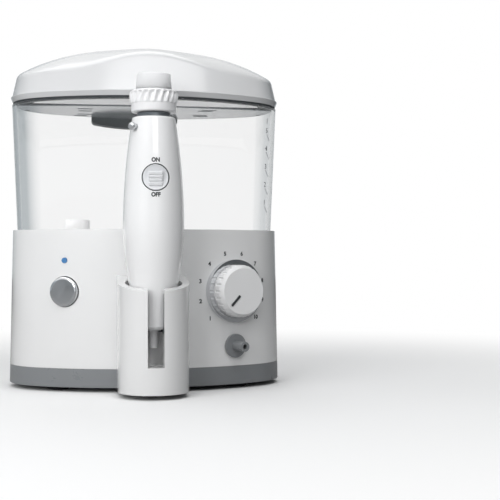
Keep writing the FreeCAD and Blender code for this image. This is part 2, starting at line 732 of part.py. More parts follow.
def make_cradle():
    back_y = TANK_Y - BASE_FOOT.half_y
    front_y = HANDLE_Y - CRADLE_R
    top_back = CRADLE_TOP + CRADLE_RISE
    solid = nose(0.0, BASE_LOW, top_back + 4.0)
    run = back_y - front_y
    slope = [
        Vec(-2 * CRADLE_R, front_y - 1, CRADLE_TOP - CRADLE_RISE / run),
        Vec(-2 * CRADLE_R, TANK_Y, CRADLE_TOP + CRADLE_RISE * (TANK_Y - front_y) / run),
        Vec(-2 * CRADLE_R, TANK_Y, top_back + 60),
        Vec(-2 * CRADLE_R, front_y - 1, top_back + 60),
    ]
    above = Part.Face(Part.makePolygon(slope + slope[:1])).extrude(Vec(4 * CRADLE_R, 0, 0))
    wall = base_solid(-SEAT_GAP, BASE_LOW - 1, BASE_TOP)
    pillar = upright(FOOT_R + 2.0, BASE_LOW - 2, WELL_Z, *CRADLE_FOOT)
    under = nose(CUP_WALL, BASE_LOW - 1, WELL_Z - CUP_WALL).cut(pillar)
    pocket = box(
        (-CRADLE_R + CUP_WALL, CRADLE_R - CUP_WALL),
        (HANDLE_Y + CUP_R + CUP_WALL, TANK_Y),
        (BASE_LOW - 1, CRADLE_TOP - 4.0),
    )
    slot = box(
        (-HOSE_SLOT_W / 2, HOSE_SLOT_W / 2), (front_y - 1, HANDLE_Y), (WELL_Z, top_back + 60)
    )
    cup = upright(CUP_R, CUP_Z, top_back + 60, 0, HANDLE_Y)
    well = upright(WELL_R, WELL_Z, CUP_Z + 1, 0, HANDLE_Y)
    return cut(solid, [above, wall, under, pocket, slot, cup, well, foot_recess(*CRADLE_FOOT)])


PARTS["handle_cradle"] = make_cradle()
LINER_TOP = CRADLE_TOP - 2.0
slot_box = box(
    (-HOSE_SLOT_W / 2, HOSE_SLOT_W / 2), (HANDLE_Y - 2 * CUP_R, HANDLE_Y), (CUP_Z - 1, LINER_TOP + 1)
)
PARTS["cradle_liner"] = cut(
    upright(CUP_R - RUN_GAP, CUP_Z, LINER_TOP, 0, HANDLE_Y),
    [handle_solid(FIT_GAP), upright(WELL_R, CUP_Z - 1, LINER_TOP, 0, HANDLE_Y), slot_box],
)
# Handpiece shells, split front and back
NECK_FLANGE_Z = HANDLE_TOP - HANDLE_WALL
NECK_LOW = NECK_FLANGE_Z - 1.4
INLET_FLANGE_Z = HANDLE_LOW + HANDLE_WALL
SWITCH_Z = HANDLE_LOW + SWITCH_UP
SWITCH_FACE = HANDLE_Y - HANDLE_TOP_R - 2.0
SWITCH_BACK = SWITCH_FACE + 2.0
EJECT_Z = HANDLE_LOW + EJECT_UP
eject_turn = math.radians(EJECT_AZIMUTH)
EJECT_DIR = Vec(-math.sin(eject_turn), -math.cos(eject_turn), 0)
HANDLE_AXIS = Vec(0, HANDLE_Y, 0)


def eject_point(distance):
    return HANDLE_AXIS + EJECT_DIR * distance + Vec(0, 0, EJECT_Z)


EJECT_SKIN = HANDLE_TOP_R + 1.6
far = 4 * HANDLE_GRIP_R
shell = cut(
    handle_solid(0.0),
    [
        handle_solid(-HANDLE_WALL),
        upright(NECK_R + RUN_GAP, HANDLE_TOP - 2 * HANDLE_WALL, HANDLE_TOP + 1, 0, HANDLE_Y),
        upright(BARB_R + 2.0 + RUN_GAP, HANDLE_LOW - 1, HANDLE_LOW + 2 * HANDLE_WALL, 0, HANDLE_Y),
        rod(SWITCH_R + RUN_GAP, Vec(0, HANDLE_Y - far, SWITCH_Z), Vec(0, HANDLE_Y - 6, SWITCH_Z)),
        rod(1.6 + RUN_GAP, eject_point(0), eject_point(far)),
        rod(EJECT_R + 0.5, eject_point(EJECT_SKIN - 1.0), eject_point(far)),
    ],
)
half_box = box((-far, far), (HANDLE_Y - far, HANDLE_Y), (0, 2 * HANDLE_TOP))
PARTS["handle_front"] = shell.common(half_box)
PARTS["handle_rear"] = shell.cut(half_box)

# Neck with the spindle that the collar turns on
SPINDLE_TOP = CAP_Z - 1.5
PARTS["handle_neck"] = cut(
    turned(
        [
            (0, NECK_LOW),
            (NECK_R, NECK_LOW),
            (NECK_R, RING_Z - FIT_GAP),
            (SPINDLE_R, RING_Z - FIT_GAP),
            (SPINDLE_R, SPINDLE_TOP),
            (0, SPINDLE_TOP),
        ],
        0,
        HANDLE_Y,
    ),
    [upright(BARB_R - 0.8, NECK_LOW - 1.0, SPINDLE_TOP + 1, 0, HANDLE_Y)],
)

# Knurled collar and the cap that takes a tip
BAND_R = RING_R - RING_STEP
GROOVE_R = RING_R + 0.5  # axes of the grooves
ring = turned(
    [
        (SPINDLE_R + RUN_GAP, RING_Z),
        (BAND_R - 1.2, RING_Z),
        (BAND_R, RING_Z + 1.6),
        (BAND_R, RING_Z + 0.36 * RING_H),
        (RING_R, RING_Z + 0.48 * RING_H),
        (RING_R, CAP_Z - 2.0),
        (RING_R - 2.0, CAP_Z),
        (SPINDLE_R + RUN_GAP, CAP_Z),
    ],
    0,
    HANDLE_Y,
)
grooves = []
for index in range(RING_RIDGES):
    turn = 2 * math.pi * index / RING_RIDGES
    top_turn = turn + RING_LEAN
    low = HANDLE_AXIS + Vec(GROOVE_R * math.cos(turn), GROOVE_R * math.sin(turn), RING_Z + 0.38 * RING_H)
    high = HANDLE_AXIS + Vec(GROOVE_R * math.cos(top_turn), GROOVE_R * math.sin(top_turn), CAP_Z + 1)
    grooves.append(rod(RING_GROOVE, low, high))
PARTS["knurled_ring"] = ring.cut(Part.makeCompound(grooves))
SOCKET_DEPTH = 8.0
PARTS["nozzle_cap"] = turned(
    [
        (0, CAP_Z),
        (CAP_R, CAP_Z),
        (CAP_R - 0.6, CAP_Z + CAP_H - 2.4),
        (CAP_R - 1.4, CAP_Z + CAP_H - 0.7),
        (CAP_R - 3.0, CAP_Z + CAP_H),
        (TIP_SHANK_R + 0.1, CAP_Z + CAP_H),
        (TIP_SHANK_R + 0.1, CAP_Z + CAP_H - SOCKET_DEPTH),
        (0, CAP_Z + CAP_H - SOCKET_DEPTH),
    ],
    0,
    HANDLE_Y,
).cut(upright(BARB_R - 0.8, CAP_Z - 1, CAP_Z + CAP_H, 0, HANDLE_Y))

# Water tube inside the handpiece and the nipple for its hose
PARTS["hose_nipple"] = cut(
    turned(
        [
            (0, HANDLE_LOW - 12.0),
            (BARB_R, HANDLE_LOW - 12.0),
            (BARB_R, HANDLE_LOW - 1.5),
            (BARB_R + 2.0, HANDLE_LOW - 1.5),
            (BARB_R + 2.0, INLET_FLANGE_Z),
            (BARB_R + 4.5, INLET_FLANGE_Z),
            (BARB_R + 4.5, INLET_FLANGE_Z + 4.0),
            (0, INLET_FLANGE_Z + 4.0),
        ],
        0,
        HANDLE_Y,
    ),
    [upright(BARB_R - 1.0, HANDLE_LOW - 13.0, INLET_FLANGE_Z + 5.0, 0, HANDLE_Y)],
)
PARTS["water_tube"] = upright(3.0, INLET_FLANGE_Z + 4.0, NECK_LOW, 0, HANDLE_Y).cut(
    upright(BARB_R - 0.8, INLET_FLANGE_Z, NECK_FLANGE_Z, 0, HANDLE_Y)
)

# Round switch plate and its sliding thumb piece
STEM_HALF = 2.4
PAD_HALF = 4.4
PAD_H = 8.0
PAD_LOW = SWITCH_Z - PAD_H / 2 - SWITCH_TRAVEL / 2
STEM_LOW = PAD_LOW + PAD_H / 2 - 2.0
STEM_TOP = STEM_LOW + 4.0
PARTS["switch_plate"] = cut(
    rod(SWITCH_R, Vec(0, SWITCH_FACE, SWITCH_Z), Vec(0, SWITCH_BACK, SWITCH_Z)),
    [
        box(
            (-STEM_HALF - FIT_GAP, STEM_HALF + FIT_GAP),
            (SWITCH_FACE - 1, SWITCH_BACK + 1),
            (STEM_LOW - FIT_GAP, STEM_TOP + SWITCH_TRAVEL + FIT_GAP),
        )
    ],
)
PAD_SPAN = (-PAD_HALF, PAD_HALF)
STEM_SPAN = (-STEM_HALF, STEM_HALF)
PARTS["flow_switch"] = fused(
    [
        box(PAD_SPAN, (SWITCH_FACE - 2.4, SWITCH_FACE - FIT_GAP), (PAD_LOW, PAD_LOW + PAD_H)),
        box(STEM_SPAN, (SWITCH_FACE - 1, SWITCH_BACK + FIT_GAP + 1.5), (STEM_LOW, STEM_TOP)),
        box(
            PAD_SPAN,
            (SWITCH_BACK + FIT_GAP, SWITCH_BACK + FIT_GAP + 1.5),
            (STEM_LOW - 1, STEM_TOP + 1),
        ),
    ]
)

# Release button on the side of the handpiece
EJECT_INNER = EJECT_SKIN - HANDLE_WALL - 1.8
PARTS["eject_button"] = fused(
    [
        Part.makeSphere(EJECT_R, eject_point(EJECT_SKIN + EJECT_TRAVEL + 0.4), EJECT_DIR, -21, 90, 360),
        rod(1.6, eject_point(EJECT_INNER - 1.4), eject_point(EJECT_SKIN + EJECT_TRAVEL)),
        rod(2.4, eject_point(EJECT_INNER - 1.4), eject_point(EJECT_INNER - 0.4)),
    ]
)

# Pressure dial, its bezel, stem and regulator
PARTS["dial_bezel"] = cut(
    DIAL_WALL.disc(BEZEL_R, -4.0, 3.0),
    [DIAL_WALL.disc(DIAL_R + FIT_GAP, -5.0, 4.0), base_solid(-SEAT_GAP, BASE_LOW, BASE_TOP)],
)
dial = fused(
    [
        DIAL_WALL.disc(DIAL_R, 1.0, 1.0 + DIAL_H - DIAL_CAP_H),
        Part.makeCone(
            DIAL_R, DIAL_R - 2.0, DIAL_CAP_H, DIAL_WALL.at(1.0 + DIAL_H - DIAL_CAP_H), DIAL_WALL.out
        ),
    ]
)
dial_grooves = []
for index in range(24):
    turn = 2 * math.pi * index / 24
    edge = DIAL_R + 0.2
    dial_grooves.append(
        rod(
            0.9,
            DIAL_WALL.at(4.0, edge * math.cos(turn), edge * math.sin(turn)),
            DIAL_WALL.at(2.0 + DIAL_H, edge * math.cos(turn), edge * math.sin(turn)),
        )
    )
STEM_TIP = 1.0 + 0.55 * DIAL_H
PARTS["pressure_dial"] = cut(
    dial, [Part.makeCompound(dial_grooves), DIAL_WALL.disc(STEM_R + PRESS_GAP, 0.0, STEM_TIP)]
)
REG_R = 9.0
REG_FACE = -BASE_WALL - 0.6
REG_L = 18.0
REG_BARB = REG_FACE - 10.0
PARTS["regulator_stem"] = DIAL_WALL.disc(STEM_R, REG_FACE - 9.0, STEM_TIP - 0.1)
reg_drop = CONTROL_Z - REG_R
reg_point = DIAL_WALL.at(REG_BARB)
REG_SIDE_X = reg_point.x - REG_R
REG_SIDE_Y = reg_point.y
PARTS["regulator_body"] = cut(
    fused(
        [
            DIAL_WALL.disc(REG_R, REG_FACE - REG_L, REG_FACE),
            rod(BARB_R, reg_point, reg_point - Vec(0, 0, REG_R + BARB_L)),
            rod(BARB_R, reg_point, reg_point - Vec(REG_R + BARB_L + 2.0, 0, 0)),
        ]
    ),
    [DIAL_WALL.disc(STEM_R + RUN_GAP, REG_FACE - 9.5, REG_FACE + 1)],
)

# Hose outlet on the base: an elbow whose inner end points up to the regulator
elbow_in = Vec(reg_point.x, reg_point.y, OUTLET_Z)
PARTS["hose_outlet"] = cut(
    fused(
        [
            rod(GLAND_R, elbow_in, OUTLET_WALL.at(1.0)),
            OUTLET_WALL.disc(GLAND_R + GLAND_LIP, 0.3, 2.2),
            OUTLET_WALL.disc(BARB_R + 0.6, 0.0, 13.0),
            rod(BARB_R, elbow_in, elbow_in + Vec(0, 0, GLAND_R + BARB_L)),
        ]
    ),
    [
        rod(BARB_R - 1.0, elbow_in + OUTLET_WALL.out * 1.5, OUTLET_WALL.at(14.0)),
    ],
)
PARTS["outlet_hose"] = hose(
    [
        Vec(reg_point.x, reg_point.y, reg_drop - FIT_GAP),
        Vec(reg_point.x, reg_point.y, OUTLET_Z + GLAND_R + FIT_GAP),
    ]
)

# Power button with its switch and lamp lens
BUTTON_BACK = -BASE_WALL - 0.5
PARTS["power_button"] = fused(
    [
        BUTTON_WALL.disc(BUTTON_R, BUTTON_BACK, BUTTON_OUT - 1.0),
        Part.makeCone(BUTTON_R, BUTTON_R - 1.4, 1.0, BUTTON_WALL.at(BUTTON_OUT - 1.0), BUTTON_WALL.out),
        BUTTON_WALL.disc(2.0, BUTTON_BACK - 4.0, 0.0),
    ]
)
SWITCH_FRONT = BUTTON_BACK - BUTTON_TRAVEL - FIT_GAP
PARTS["power_switch"] = cut(
    fused(
        [
            BUTTON_WALL.disc(SWITCH_BODY_R, SWITCH_FRONT - 9.0, SWITCH_FRONT),
            BUTTON_WALL.disc(SWITCH_BODY_R, SWITCH_FRONT - 1.0, -BASE_WALL - 0.9).cut(
                BUTTON_WALL.disc(BUTTON_R + FIT_GAP, SWITCH_FRONT - 2.0, 0.0)
            ),
        ]
    ),
    [BUTTON_WALL.disc(2.0 + FIT_GAP, SWITCH_FRONT - 6.0, 0.0)],
)
PARTS["indicator_lens"] = BUTTON_WALL.disc(LED_R, -BASE_WALL - 2.0, 0.6, LED_UP)

# Inlet spigot in the deck, with its ring and the hose down to the pump
PARTS["inlet_spigot"] = cut(
    fused(
        [
            upright(BARB_R, DECK_LOW - 3.0 - BARB_L, DECK_LOW, VALVE_X, VALVE_Y),
            upright(SPIGOT_R + 3.5, DECK_LOW - 3.0, DECK_LOW, VALVE_X, VALVE_Y),
            upright(SPIGOT_R, DECK_LOW - 1.0, SPIGOT_TOP, VALVE_X, VALVE_Y),
            upright(1.0, SPIGOT_TOP - 1.0, SPIGOT_TOP + 0.5 - RUN_GAP, VALVE_X, VALVE_Y),
        ]
    ),
    [
        upright(1.6, DECK_LOW - 4.0 - BARB_L, SPIGOT_TOP - 2.0, VALVE_X, VALVE_Y),
        rod(1.2, Vec(VALVE_X, VALVE_Y - 2.6, SEAT_Z - 1.0), Vec(VALVE_X, VALVE_Y - 2.6, SPIGOT_TOP + 1)),
        rod(1.2, Vec(VALVE_X, VALVE_Y + 2.6, SEAT_Z - 1.0), Vec(VALVE_X, VALVE_Y + 2.6, SPIGOT_TOP + 1)),
        box((VALVE_X - 1, VALVE_X + 1), (VALVE_Y - 3, VALVE_Y + 3), (SEAT_Z - 1.0, SEAT_Z + 1.0)),
        upright(SPIGOT_R + 1, SPIGOT_TOP - 2.6, SPIGOT_TOP - 1.0, VALVE_X, VALVE_Y).cut(
            upright(SPIGOT_R - 1.0, SPIGOT_TOP - 3.0, SPIGOT_TOP, VALVE_X, VALVE_Y)
        ),
    ],
)
seal = upright(CAGE_BORE - RUN_GAP, SPIGOT_TOP - 2.5, SPIGOT_TOP - 1.1, VALVE_X, VALVE_Y)
PARTS["spigot_seal"] = seal.cut(
    upright(SPIGOT_R - 1.0 + PRESS_GAP, SPIGOT_TOP - 3.0, SPIGOT_TOP, VALVE_X, VALVE_Y)
)
PARTS["suction_hose"] = hose(
    [Vec(VALVE_X, VALVE_Y, DECK_LOW - 3.0 - FIT_GAP), Vec(VALVE_X, VALVE_Y, PUMP_TOP + FIT_GAP)]
)

# Gear frame on rubber dampers, with stand-offs for the circuit board
FRAME_TOP = PUMP_Z + 24.0
FRAME_SPAN = (HEAD_X, PINION_X + 16.0)
CAN_Z = FRAME_LOW + 26.0
BOARD_Y = FRAME_Y + FRAME_T + 12.0
STANDOFFS = [(HEAD_X + x, z) for x in (3.0, 33.0) for z in (FRAME_LOW + 16.0, FRAME_TOP - 8.0)]
PARTS["gear_frame"] = cut(
    fused(
        [
            box(FRAME_SPAN, (FRAME_Y, FRAME_Y + FRAME_T), (FRAME_LOW, FRAME_TOP)),
            box(FRAME_SPAN, (FRAME_Y - 15.0, FRAME_Y + 26.0), (FRAME_LOW, FRAME_LOW + 3.0)),
        ]
        + [rod(3.0, Vec(x, FRAME_Y + 1, z), Vec(x, BOARD_Y, z)) for x, z in STANDOFFS]
    ),
    [
        rod(AXLE_R + PRESS_GAP, Vec(CRANK_X, FRAME_Y - 1, PUMP_Z), Vec(CRANK_X, FRAME_Y + 9, PUMP_Z)),
        rod(4.0, Vec(PINION_X, FRAME_Y - 1, PUMP_Z), Vec(PINION_X, FRAME_Y + 9, PUMP_Z)),
    ],
)
PARTS["pump_dampers"] = Part.makeCompound([upright(5.0, FLOOR_Z, FRAME_LOW, x, y) for x, y in DAMPERS])
PARTS["circuit_board"] = fused(
    [
        box((HEAD_X - 5.0, HEAD_X + 41.0), (BOARD_Y, BOARD_Y + 1.6), (FRAME_LOW + 8.0, FRAME_TOP)),
        box((HEAD_X + 7.0, HEAD_X + 25.0), (BOARD_Y + 1, BOARD_Y + 10.0), (CAN_Z - 6.0, CAN_Z + 10.0)),
        rod(4.0, Vec(HEAD_X + 33.0, BOARD_Y + 1, CAN_Z), Vec(HEAD_X + 33.0, BOARD_Y + 12.0, CAN_Z)),
    ]
)

# Motor, pinion, crank gear and the piston with its yoke
MOTOR_Y = FRAME_Y + FRAME_T
PARTS["motor"] = cut(
    fused(
        [
            rod(MOTOR_R, Vec(PINION_X, MOTOR_Y, PUMP_Z), Vec(PINION_X, MOTOR_Y + MOTOR_L, PUMP_Z)),
            rod(5.0, Vec(PINION_X, MOTOR_Y, PUMP_Z), Vec(PINION_X, MOTOR_Y + MOTOR_L + 2.0, PUMP_Z)),
        ]
    ),
    [rod(SHAFT_R + RUN_GAP, Vec(PINION_X, MOTOR_Y - 1, PUMP_Z), Vec(PINION_X, MOTOR_Y + 16.0, PUMP_Z))],
)
PARTS["motor_shaft"] = rod(
    SHAFT_R, Vec(PINION_X, GEAR_Y - GEAR_T - 0.5, PUMP_Z), Vec(PINION_X, MOTOR_Y + 15.5, PUMP_Z)
)
pinion = gear(PINION_TEETH, GEAR_T, math.pi + math.pi / PINION_TEETH)
PARTS["motor_pinion"] = facing_front(
    pinion.cut(upright(SHAFT_R + PRESS_GAP, -1, GEAR_T + 1)), PINION_X, GEAR_Y, PUMP_Z
)
crank = gear(GEAR_TEETH, GEAR_T, 0.0).cut(upright(AXLE_R + RUN_GAP, -1, GEAR_T + 1))
crank_pin = upright(CRANK_PIN_R, GEAR_T - 1, GEAR_T + 1.0 + YOKE_T, 0, CRANK_R)
PARTS["crank_gear"] = facing_front(crank.fuse(crank_pin), CRANK_X, GEAR_Y, PUMP_Z)
PARTS["crank_axle"] = rod(
    AXLE_R, Vec(CRANK_X, GEAR_Y - GEAR_T + 0.2, PUMP_Z), Vec(CRANK_X, FRAME_Y + FRAME_T, PUMP_Z)
)
slot_half = CRANK_PIN_R + YOKE_SLACK
slot_up = CRANK_R + CRANK_PIN_R + 0.6


def yoke_block(margin, depth):
    half = slot_half + margin
    up = slot_up + margin
    y = (ROD_Y - depth / 2, ROD_Y + depth / 2)
    return box((CRANK_X - half, CRANK_X + half), y, (PUMP_Z - up, PUMP_Z + up))


def piston_rod(radius, low_x, high_x):
    return rod(radius, Vec(low_x, ROD_Y, PUMP_Z), Vec(high_x, ROD_Y, PUMP_Z))


yoke = yoke_block(3.0, YOKE_T).cut(yoke_block(0.0, 2 * YOKE_T))
SEAL_X = PISTON_X + 4.0
PARTS["pump_piston"] = cut(
    fused(
        [
            yoke,
            piston_rod(YOKE_T / 2, PISTON_X + 2.0, CRANK_X - slot_half - 1.0),
            piston_rod(PISTON_R - 0.1, PISTON_X, PISTON_X + PISTON_L),
        ]
    ),
    [
        piston_rod(PISTON_R + 1, SEAL_X, SEAL_X + 2.0).cut(
            piston_rod(PISTON_R - 1.5, SEAL_X - 1, SEAL_X + 3.0)
        )
    ],
)
PARTS["piston_seal"] = piston_rod(PISTON_R, SEAL_X + 0.1, SEAL_X + 1.9).cut(
    piston_rod(PISTON_R - 1.5 + PRESS_GAP, SEAL_X - 1, SEAL_X + 3.0)
)

# Pump body: the cylinder and its head with an inlet on top and an outlet block in front
BARB_END = HEAD_X + 12.0 + BARB_L
PARTS["pump_body"] = cut(
    fused(
        [
            box((HEAD_X, BORE_OPEN), (PUMP_FRONT, FRAME_Y), (PUMP_LOW, PUMP_TOP)),
            upright(BARB_R, PUMP_TOP - 1, PUMP_TOP + BARB_L, VALVE_X, VALVE_Y),
            box((HEAD_X, HEAD_X + 12.0), (OUTLET_Y - 5.0, PUMP_FRONT + 1), (PUMP_Z - 5.0, PUMP_Z + 5.0)),
            rod(BARB_R, Vec(HEAD_X + 11.0, OUTLET_Y, PUMP_Z), Vec(BARB_END, OUTLET_Y, PUMP_Z)),
        ]
    ),
    [piston_rod(PISTON_R + RUN_GAP, BORE_END, BORE_OPEN + 1)],
)
hose_start = Vec(HEAD_X + 12.0 + FIT_GAP, OUTLET_Y, PUMP_Z)
hose_end = Vec(REG_SIDE_X - 3.2, REG_SIDE_Y, CONTROL_Z)
third = Vec((hose_end.x - hose_start.x) / 3, 0, 0)
PARTS["pressure_hose"] = hose([hose_start, hose_start + third, hose_end - third, hose_end])

# Cord gland in the back wall
CORD_Y = TANK_Y + base_oval(CORD_Z).half_y
gland_back = CORD_Y - BASE_WALL - 0.6
PARTS["cord_gland"] = cut(
    fused(
        [
            rod(GLAND_R, Vec(0, CORD_Y - BASE_WALL - 5.0, CORD_Z), Vec(0, CORD_Y + 2.0, CORD_Z)),
            rod(GLAND_R + GLAND_LIP, Vec(0, CORD_Y + 0.3, CORD_Z), Vec(0, CORD_Y + 3.0, CORD_Z)),
            rod(GLAND_R + GLAND_LIP, Vec(0, gland_back - 2.4, CORD_Z), Vec(0, gland_back, CORD_Z)),
        ]
    ),
    [rod(3.2, Vec(0, CORD_Y - BASE_WALL - 6.0, CORD_Z), Vec(0, CORD_Y + 4.0, CORD_Z))],
)

os.makedirs("parts", exist_ok=True)
for node, shape in PARTS.items():
    shape.exportStep(f"parts/{node}.step")
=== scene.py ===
import json
import math

import bmesh
import bpy
from mathutils import Matrix, Vector


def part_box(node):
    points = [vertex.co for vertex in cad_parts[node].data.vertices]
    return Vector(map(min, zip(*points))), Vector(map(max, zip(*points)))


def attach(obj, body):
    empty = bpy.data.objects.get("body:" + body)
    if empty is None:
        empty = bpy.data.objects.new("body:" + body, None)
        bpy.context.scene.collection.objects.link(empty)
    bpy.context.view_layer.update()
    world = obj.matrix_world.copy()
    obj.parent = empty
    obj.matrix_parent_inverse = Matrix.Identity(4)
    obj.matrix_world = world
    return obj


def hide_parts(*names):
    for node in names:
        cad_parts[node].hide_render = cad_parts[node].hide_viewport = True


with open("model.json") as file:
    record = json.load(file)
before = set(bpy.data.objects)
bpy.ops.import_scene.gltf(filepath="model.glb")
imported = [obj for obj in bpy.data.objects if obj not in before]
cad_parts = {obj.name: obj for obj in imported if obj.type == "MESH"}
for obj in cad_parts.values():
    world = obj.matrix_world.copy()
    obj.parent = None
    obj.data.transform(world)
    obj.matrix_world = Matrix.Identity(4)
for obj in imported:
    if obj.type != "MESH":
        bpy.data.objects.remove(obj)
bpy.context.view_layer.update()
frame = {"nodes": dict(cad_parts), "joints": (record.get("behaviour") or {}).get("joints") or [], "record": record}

bl_info = {
    "name": "Oral irrigator dressing",
    "version": (1, 0, 0),
    "blender": (4, 5, 0),
    "location": "3D View > Sidebar > Irrigator",
    "description": "Finished pieces, materials and studio for a countertop oral irrigator",
    "category": "Object",
}

MM = 0.001
OVAL_STEPS = 240
ROUND_STEPS = 96
UP = Vector((0, 0, 1))
FRONT = Vector((0, -1, 0))
ALONG_X = (0, math.pi / 2, 0)

# Places read from the frame
TANK_LOW, TANK_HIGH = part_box("water_tank")
TANK_Y = (TANK_LOW.y + TANK_HIGH.y) / 2
SEAT_Z = TANK_LOW.z
RIM_Z = TANK_HIGH.z
LID_LOW, LID_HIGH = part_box("lid_shell")
LID_Z = LID_LOW.z
LID_H = LID_HIGH.z - LID_Z
RING_LOW, RING_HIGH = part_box("knurled_ring")
HAND_Y = (RING_LOW.y + RING_HIGH.y) / 2
RING_R = (RING_HIGH.x - RING_LOW.x) / 2
CAP_LOW, CAP_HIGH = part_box("nozzle_cap")
JOINTS = {joint["name"]: joint for joint in frame["joints"]}
SLOTS = {entry["node"]: entry["material_slot"] for entry in frame["record"]["subparts"]}
BODIES = {
    node: body for body, nodes in frame["record"]["behaviour"]["bodies"].items() for node in nodes
}


def middle(node):
    low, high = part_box(node)
    return (low + high) / 2


# Values that a user would change
def colour_value(name, description, default):
    return bpy.props.FloatVectorProperty(
        name=name, description=description, subtype="COLOR", default=default, min=0.0, max=1.0)


def length_value(name, description, millimetres):
    return bpy.props.FloatProperty(
        name=name, description=description, default=millimetres * MM, unit="LENGTH")


class IrrigatorTones(bpy.types.PropertyGroup):
    """Colours of the plastics."""

    white: colour_value("White", "Glossy white of the base", (0.86, 0.86, 0.86))
    lid: colour_value("Lid white", "Greyer white of the lid", (0.645, 0.65, 0.66))
    hand: colour_value("Handpiece white", "Bright white of the handpiece", (0.93, 0.93, 0.935))
    satin: colour_value("Satin white", "Dial and the lid's lining", (0.88, 0.88, 0.885))
    grey: colour_value("Dark grey", "Hinge bracket and fittings", (0.022, 0.03, 0.033))
    mid_grey: colour_value("Mid grey", "Lower base tray and hose outlet", (0.24, 0.25, 0.26))
    tank: colour_value("Tank tint", "Tint of the clear tank", (1.0, 1.0, 1.0))
    tray: colour_value("Tray", "Glossy tray under the lid", (0.17, 0.185, 0.195))
    ink: colour_value("Print", "Lettering and numbers", (0.03, 0.033, 0.036))


class IrrigatorSizes(bpy.types.PropertyGroup):
    """Sizes of the finished pieces."""

    lid_wall: length_value("Lid wall", "Wall thickness of the lid", 2.4)
    lip_height: length_value("Lip height", "Upright lip round the lid", 5.2)
    lip_step: length_value("Lip step", "Set-back of the side wall above the lip", 0.9)
    lip_undercut: length_value("Lip undercut", "How far the lip leans in at its foot", 1.5)
    # Height of the dark strip of painted shade under the lip, and of the set-in foot of the lip that holds it
    painted_shade_height: length_value("Painted shade height", "Dark strip under the lip", 1.55)
    side_height: length_value("Side height", "Crease above the rim at the ends", 20.0)
    bump: length_value("Arch", "Extra height of the crease at the front", 8.9)
    lean: length_value("Lean", "Inset of the side wall at the crease", 6.5)
    end_lean: length_value("End lean", "Inset of the ends at the crease", 3.4)
    crease: length_value("Crease", "Softness of the crease", 2.2)
    tank_wall: length_value("Tank wall", "Wall thickness of the tank", 2.6)
    tank_floor: length_value("Tank floor", "Floor thickness of the tank", 3.0)
    draft: length_value("Draft", "How far each tank wall leans in at the floor", 4.0)
    ridges: bpy.props.IntProperty(
        name="Ridges", description="Grip ridges round the collar", default=22, min=12)
    ridge_depth: length_value("Ridge depth", "Depth of the grooves between ridges", 2.3)
    ridge_lean: bpy.props.FloatProperty(
        name="Ridge lean", description="Turn of a ridge from its foot to its top",
        default=0.2, subtype="ANGLE")
    print_height: length_value("Print height", "Capital height of the lettering", 3.0)


class IrrigatorStage(bpy.types.PropertyGroup):
    """Camera of the photograph."""

    distance: length_value("Distance", "Camera to the tank's axis", 750.0)
    azimuth: bpy.props.FloatProperty(
        name="Azimuth", description="Camera round from the front",
        default=math.radians(-3.7), subtype="ANGLE")
    height: length_value("Height", "Camera above the floor", 87.3)
    lens: bpy.props.FloatProperty(
        name="Lens", description="Focal length", default=78.37, unit="CAMERA")
    across: bpy.props.FloatProperty(
        name="Across", description="Tank axis left of the picture's middle, in pixels of 500",
        default=104.1)
    horizon: bpy.props.FloatProperty(
        name="Horizon", description="Eye level below the picture's middle, in pixels of 500",
        default=5.25)


# Modelling helpers
def turns(count):
    """Angles that divide one full turn."""
    return [2 * math.pi * i / count for i in range(count)]


def clamped(value):
    return min(1.0, max(0.0, value))


def fresh():
    """Leave edit mode and deselect everything."""
    if bpy.context.object and bpy.context.object.mode != "OBJECT":
        bpy.ops.object.mode_set(mode="OBJECT")
    bpy.ops.object.select_all(action="DESELECT")


def take(piece):
    """Make one piece the only selected and active one."""
    fresh()
    piece.select_set(True)
    bpy.context.view_layer.objects.active = piece
    return piece


def named(name):
    piece = bpy.context.object
    piece.name = name
    piece.data.name = name
    return piece


def smoothed(piece, angle=35.0):
    take(piece)
    bpy.ops.object.shade_smooth_by_angle(angle=math.radians(angle))
    return piece


def settled(piece):
    """Put a piece's place into its mesh."""
    take(piece)
    bpy.ops.object.transform_apply(location=True, rotation=True, scale=True)
    return piece


def block(name, place, size):
    fresh()
    bpy.ops.mesh.primitive_cube_add(size=1.0, location=place)
    piece = named(name)
    piece.scale = size
    return settled(piece)


def rod(name, radius, length, place, turn=(0, 0, 0), sides=64):
    fresh()
    bpy.ops.mesh.primitive_cylinder_add(
        vertices=sides, radius=radius, depth=length, location=place, rotation=turn)
    return settled(named(name))


def modified(piece, kind, **values):
    """Add a modifier, set it and apply it."""
    take(piece)
    modifier = piece.modifiers.new(kind.title(), kind)
    for key, value in values.items():
        setattr(modifier, key, value)
    bpy.ops.object.modifier_apply(modifier=modifier.name)
    return piece


def rounded(piece, width, angle=30.0, segments=2):
    return modified(
        piece, "BEVEL", width=width, segments=segments, limit_method="ANGLE",
        angle_limit=math.radians(angle))


def joined(pieces, name):
    take(pieces[0])
    for piece in pieces[1:]:
        piece.select_set(True)
    if len(pieces) > 1:
        bpy.ops.object.join()
    return named(name)


def carved(piece, cutter):
    """Cut one piece out of another and throw the cutter away."""
    modified(piece, "BOOLEAN", object=cutter, operation="DIFFERENCE", solver="EXACT")
    mesh = cutter.data
    bpy.data.objects.remove(cutter)
    bpy.data.meshes.remove(mesh)
    return piece


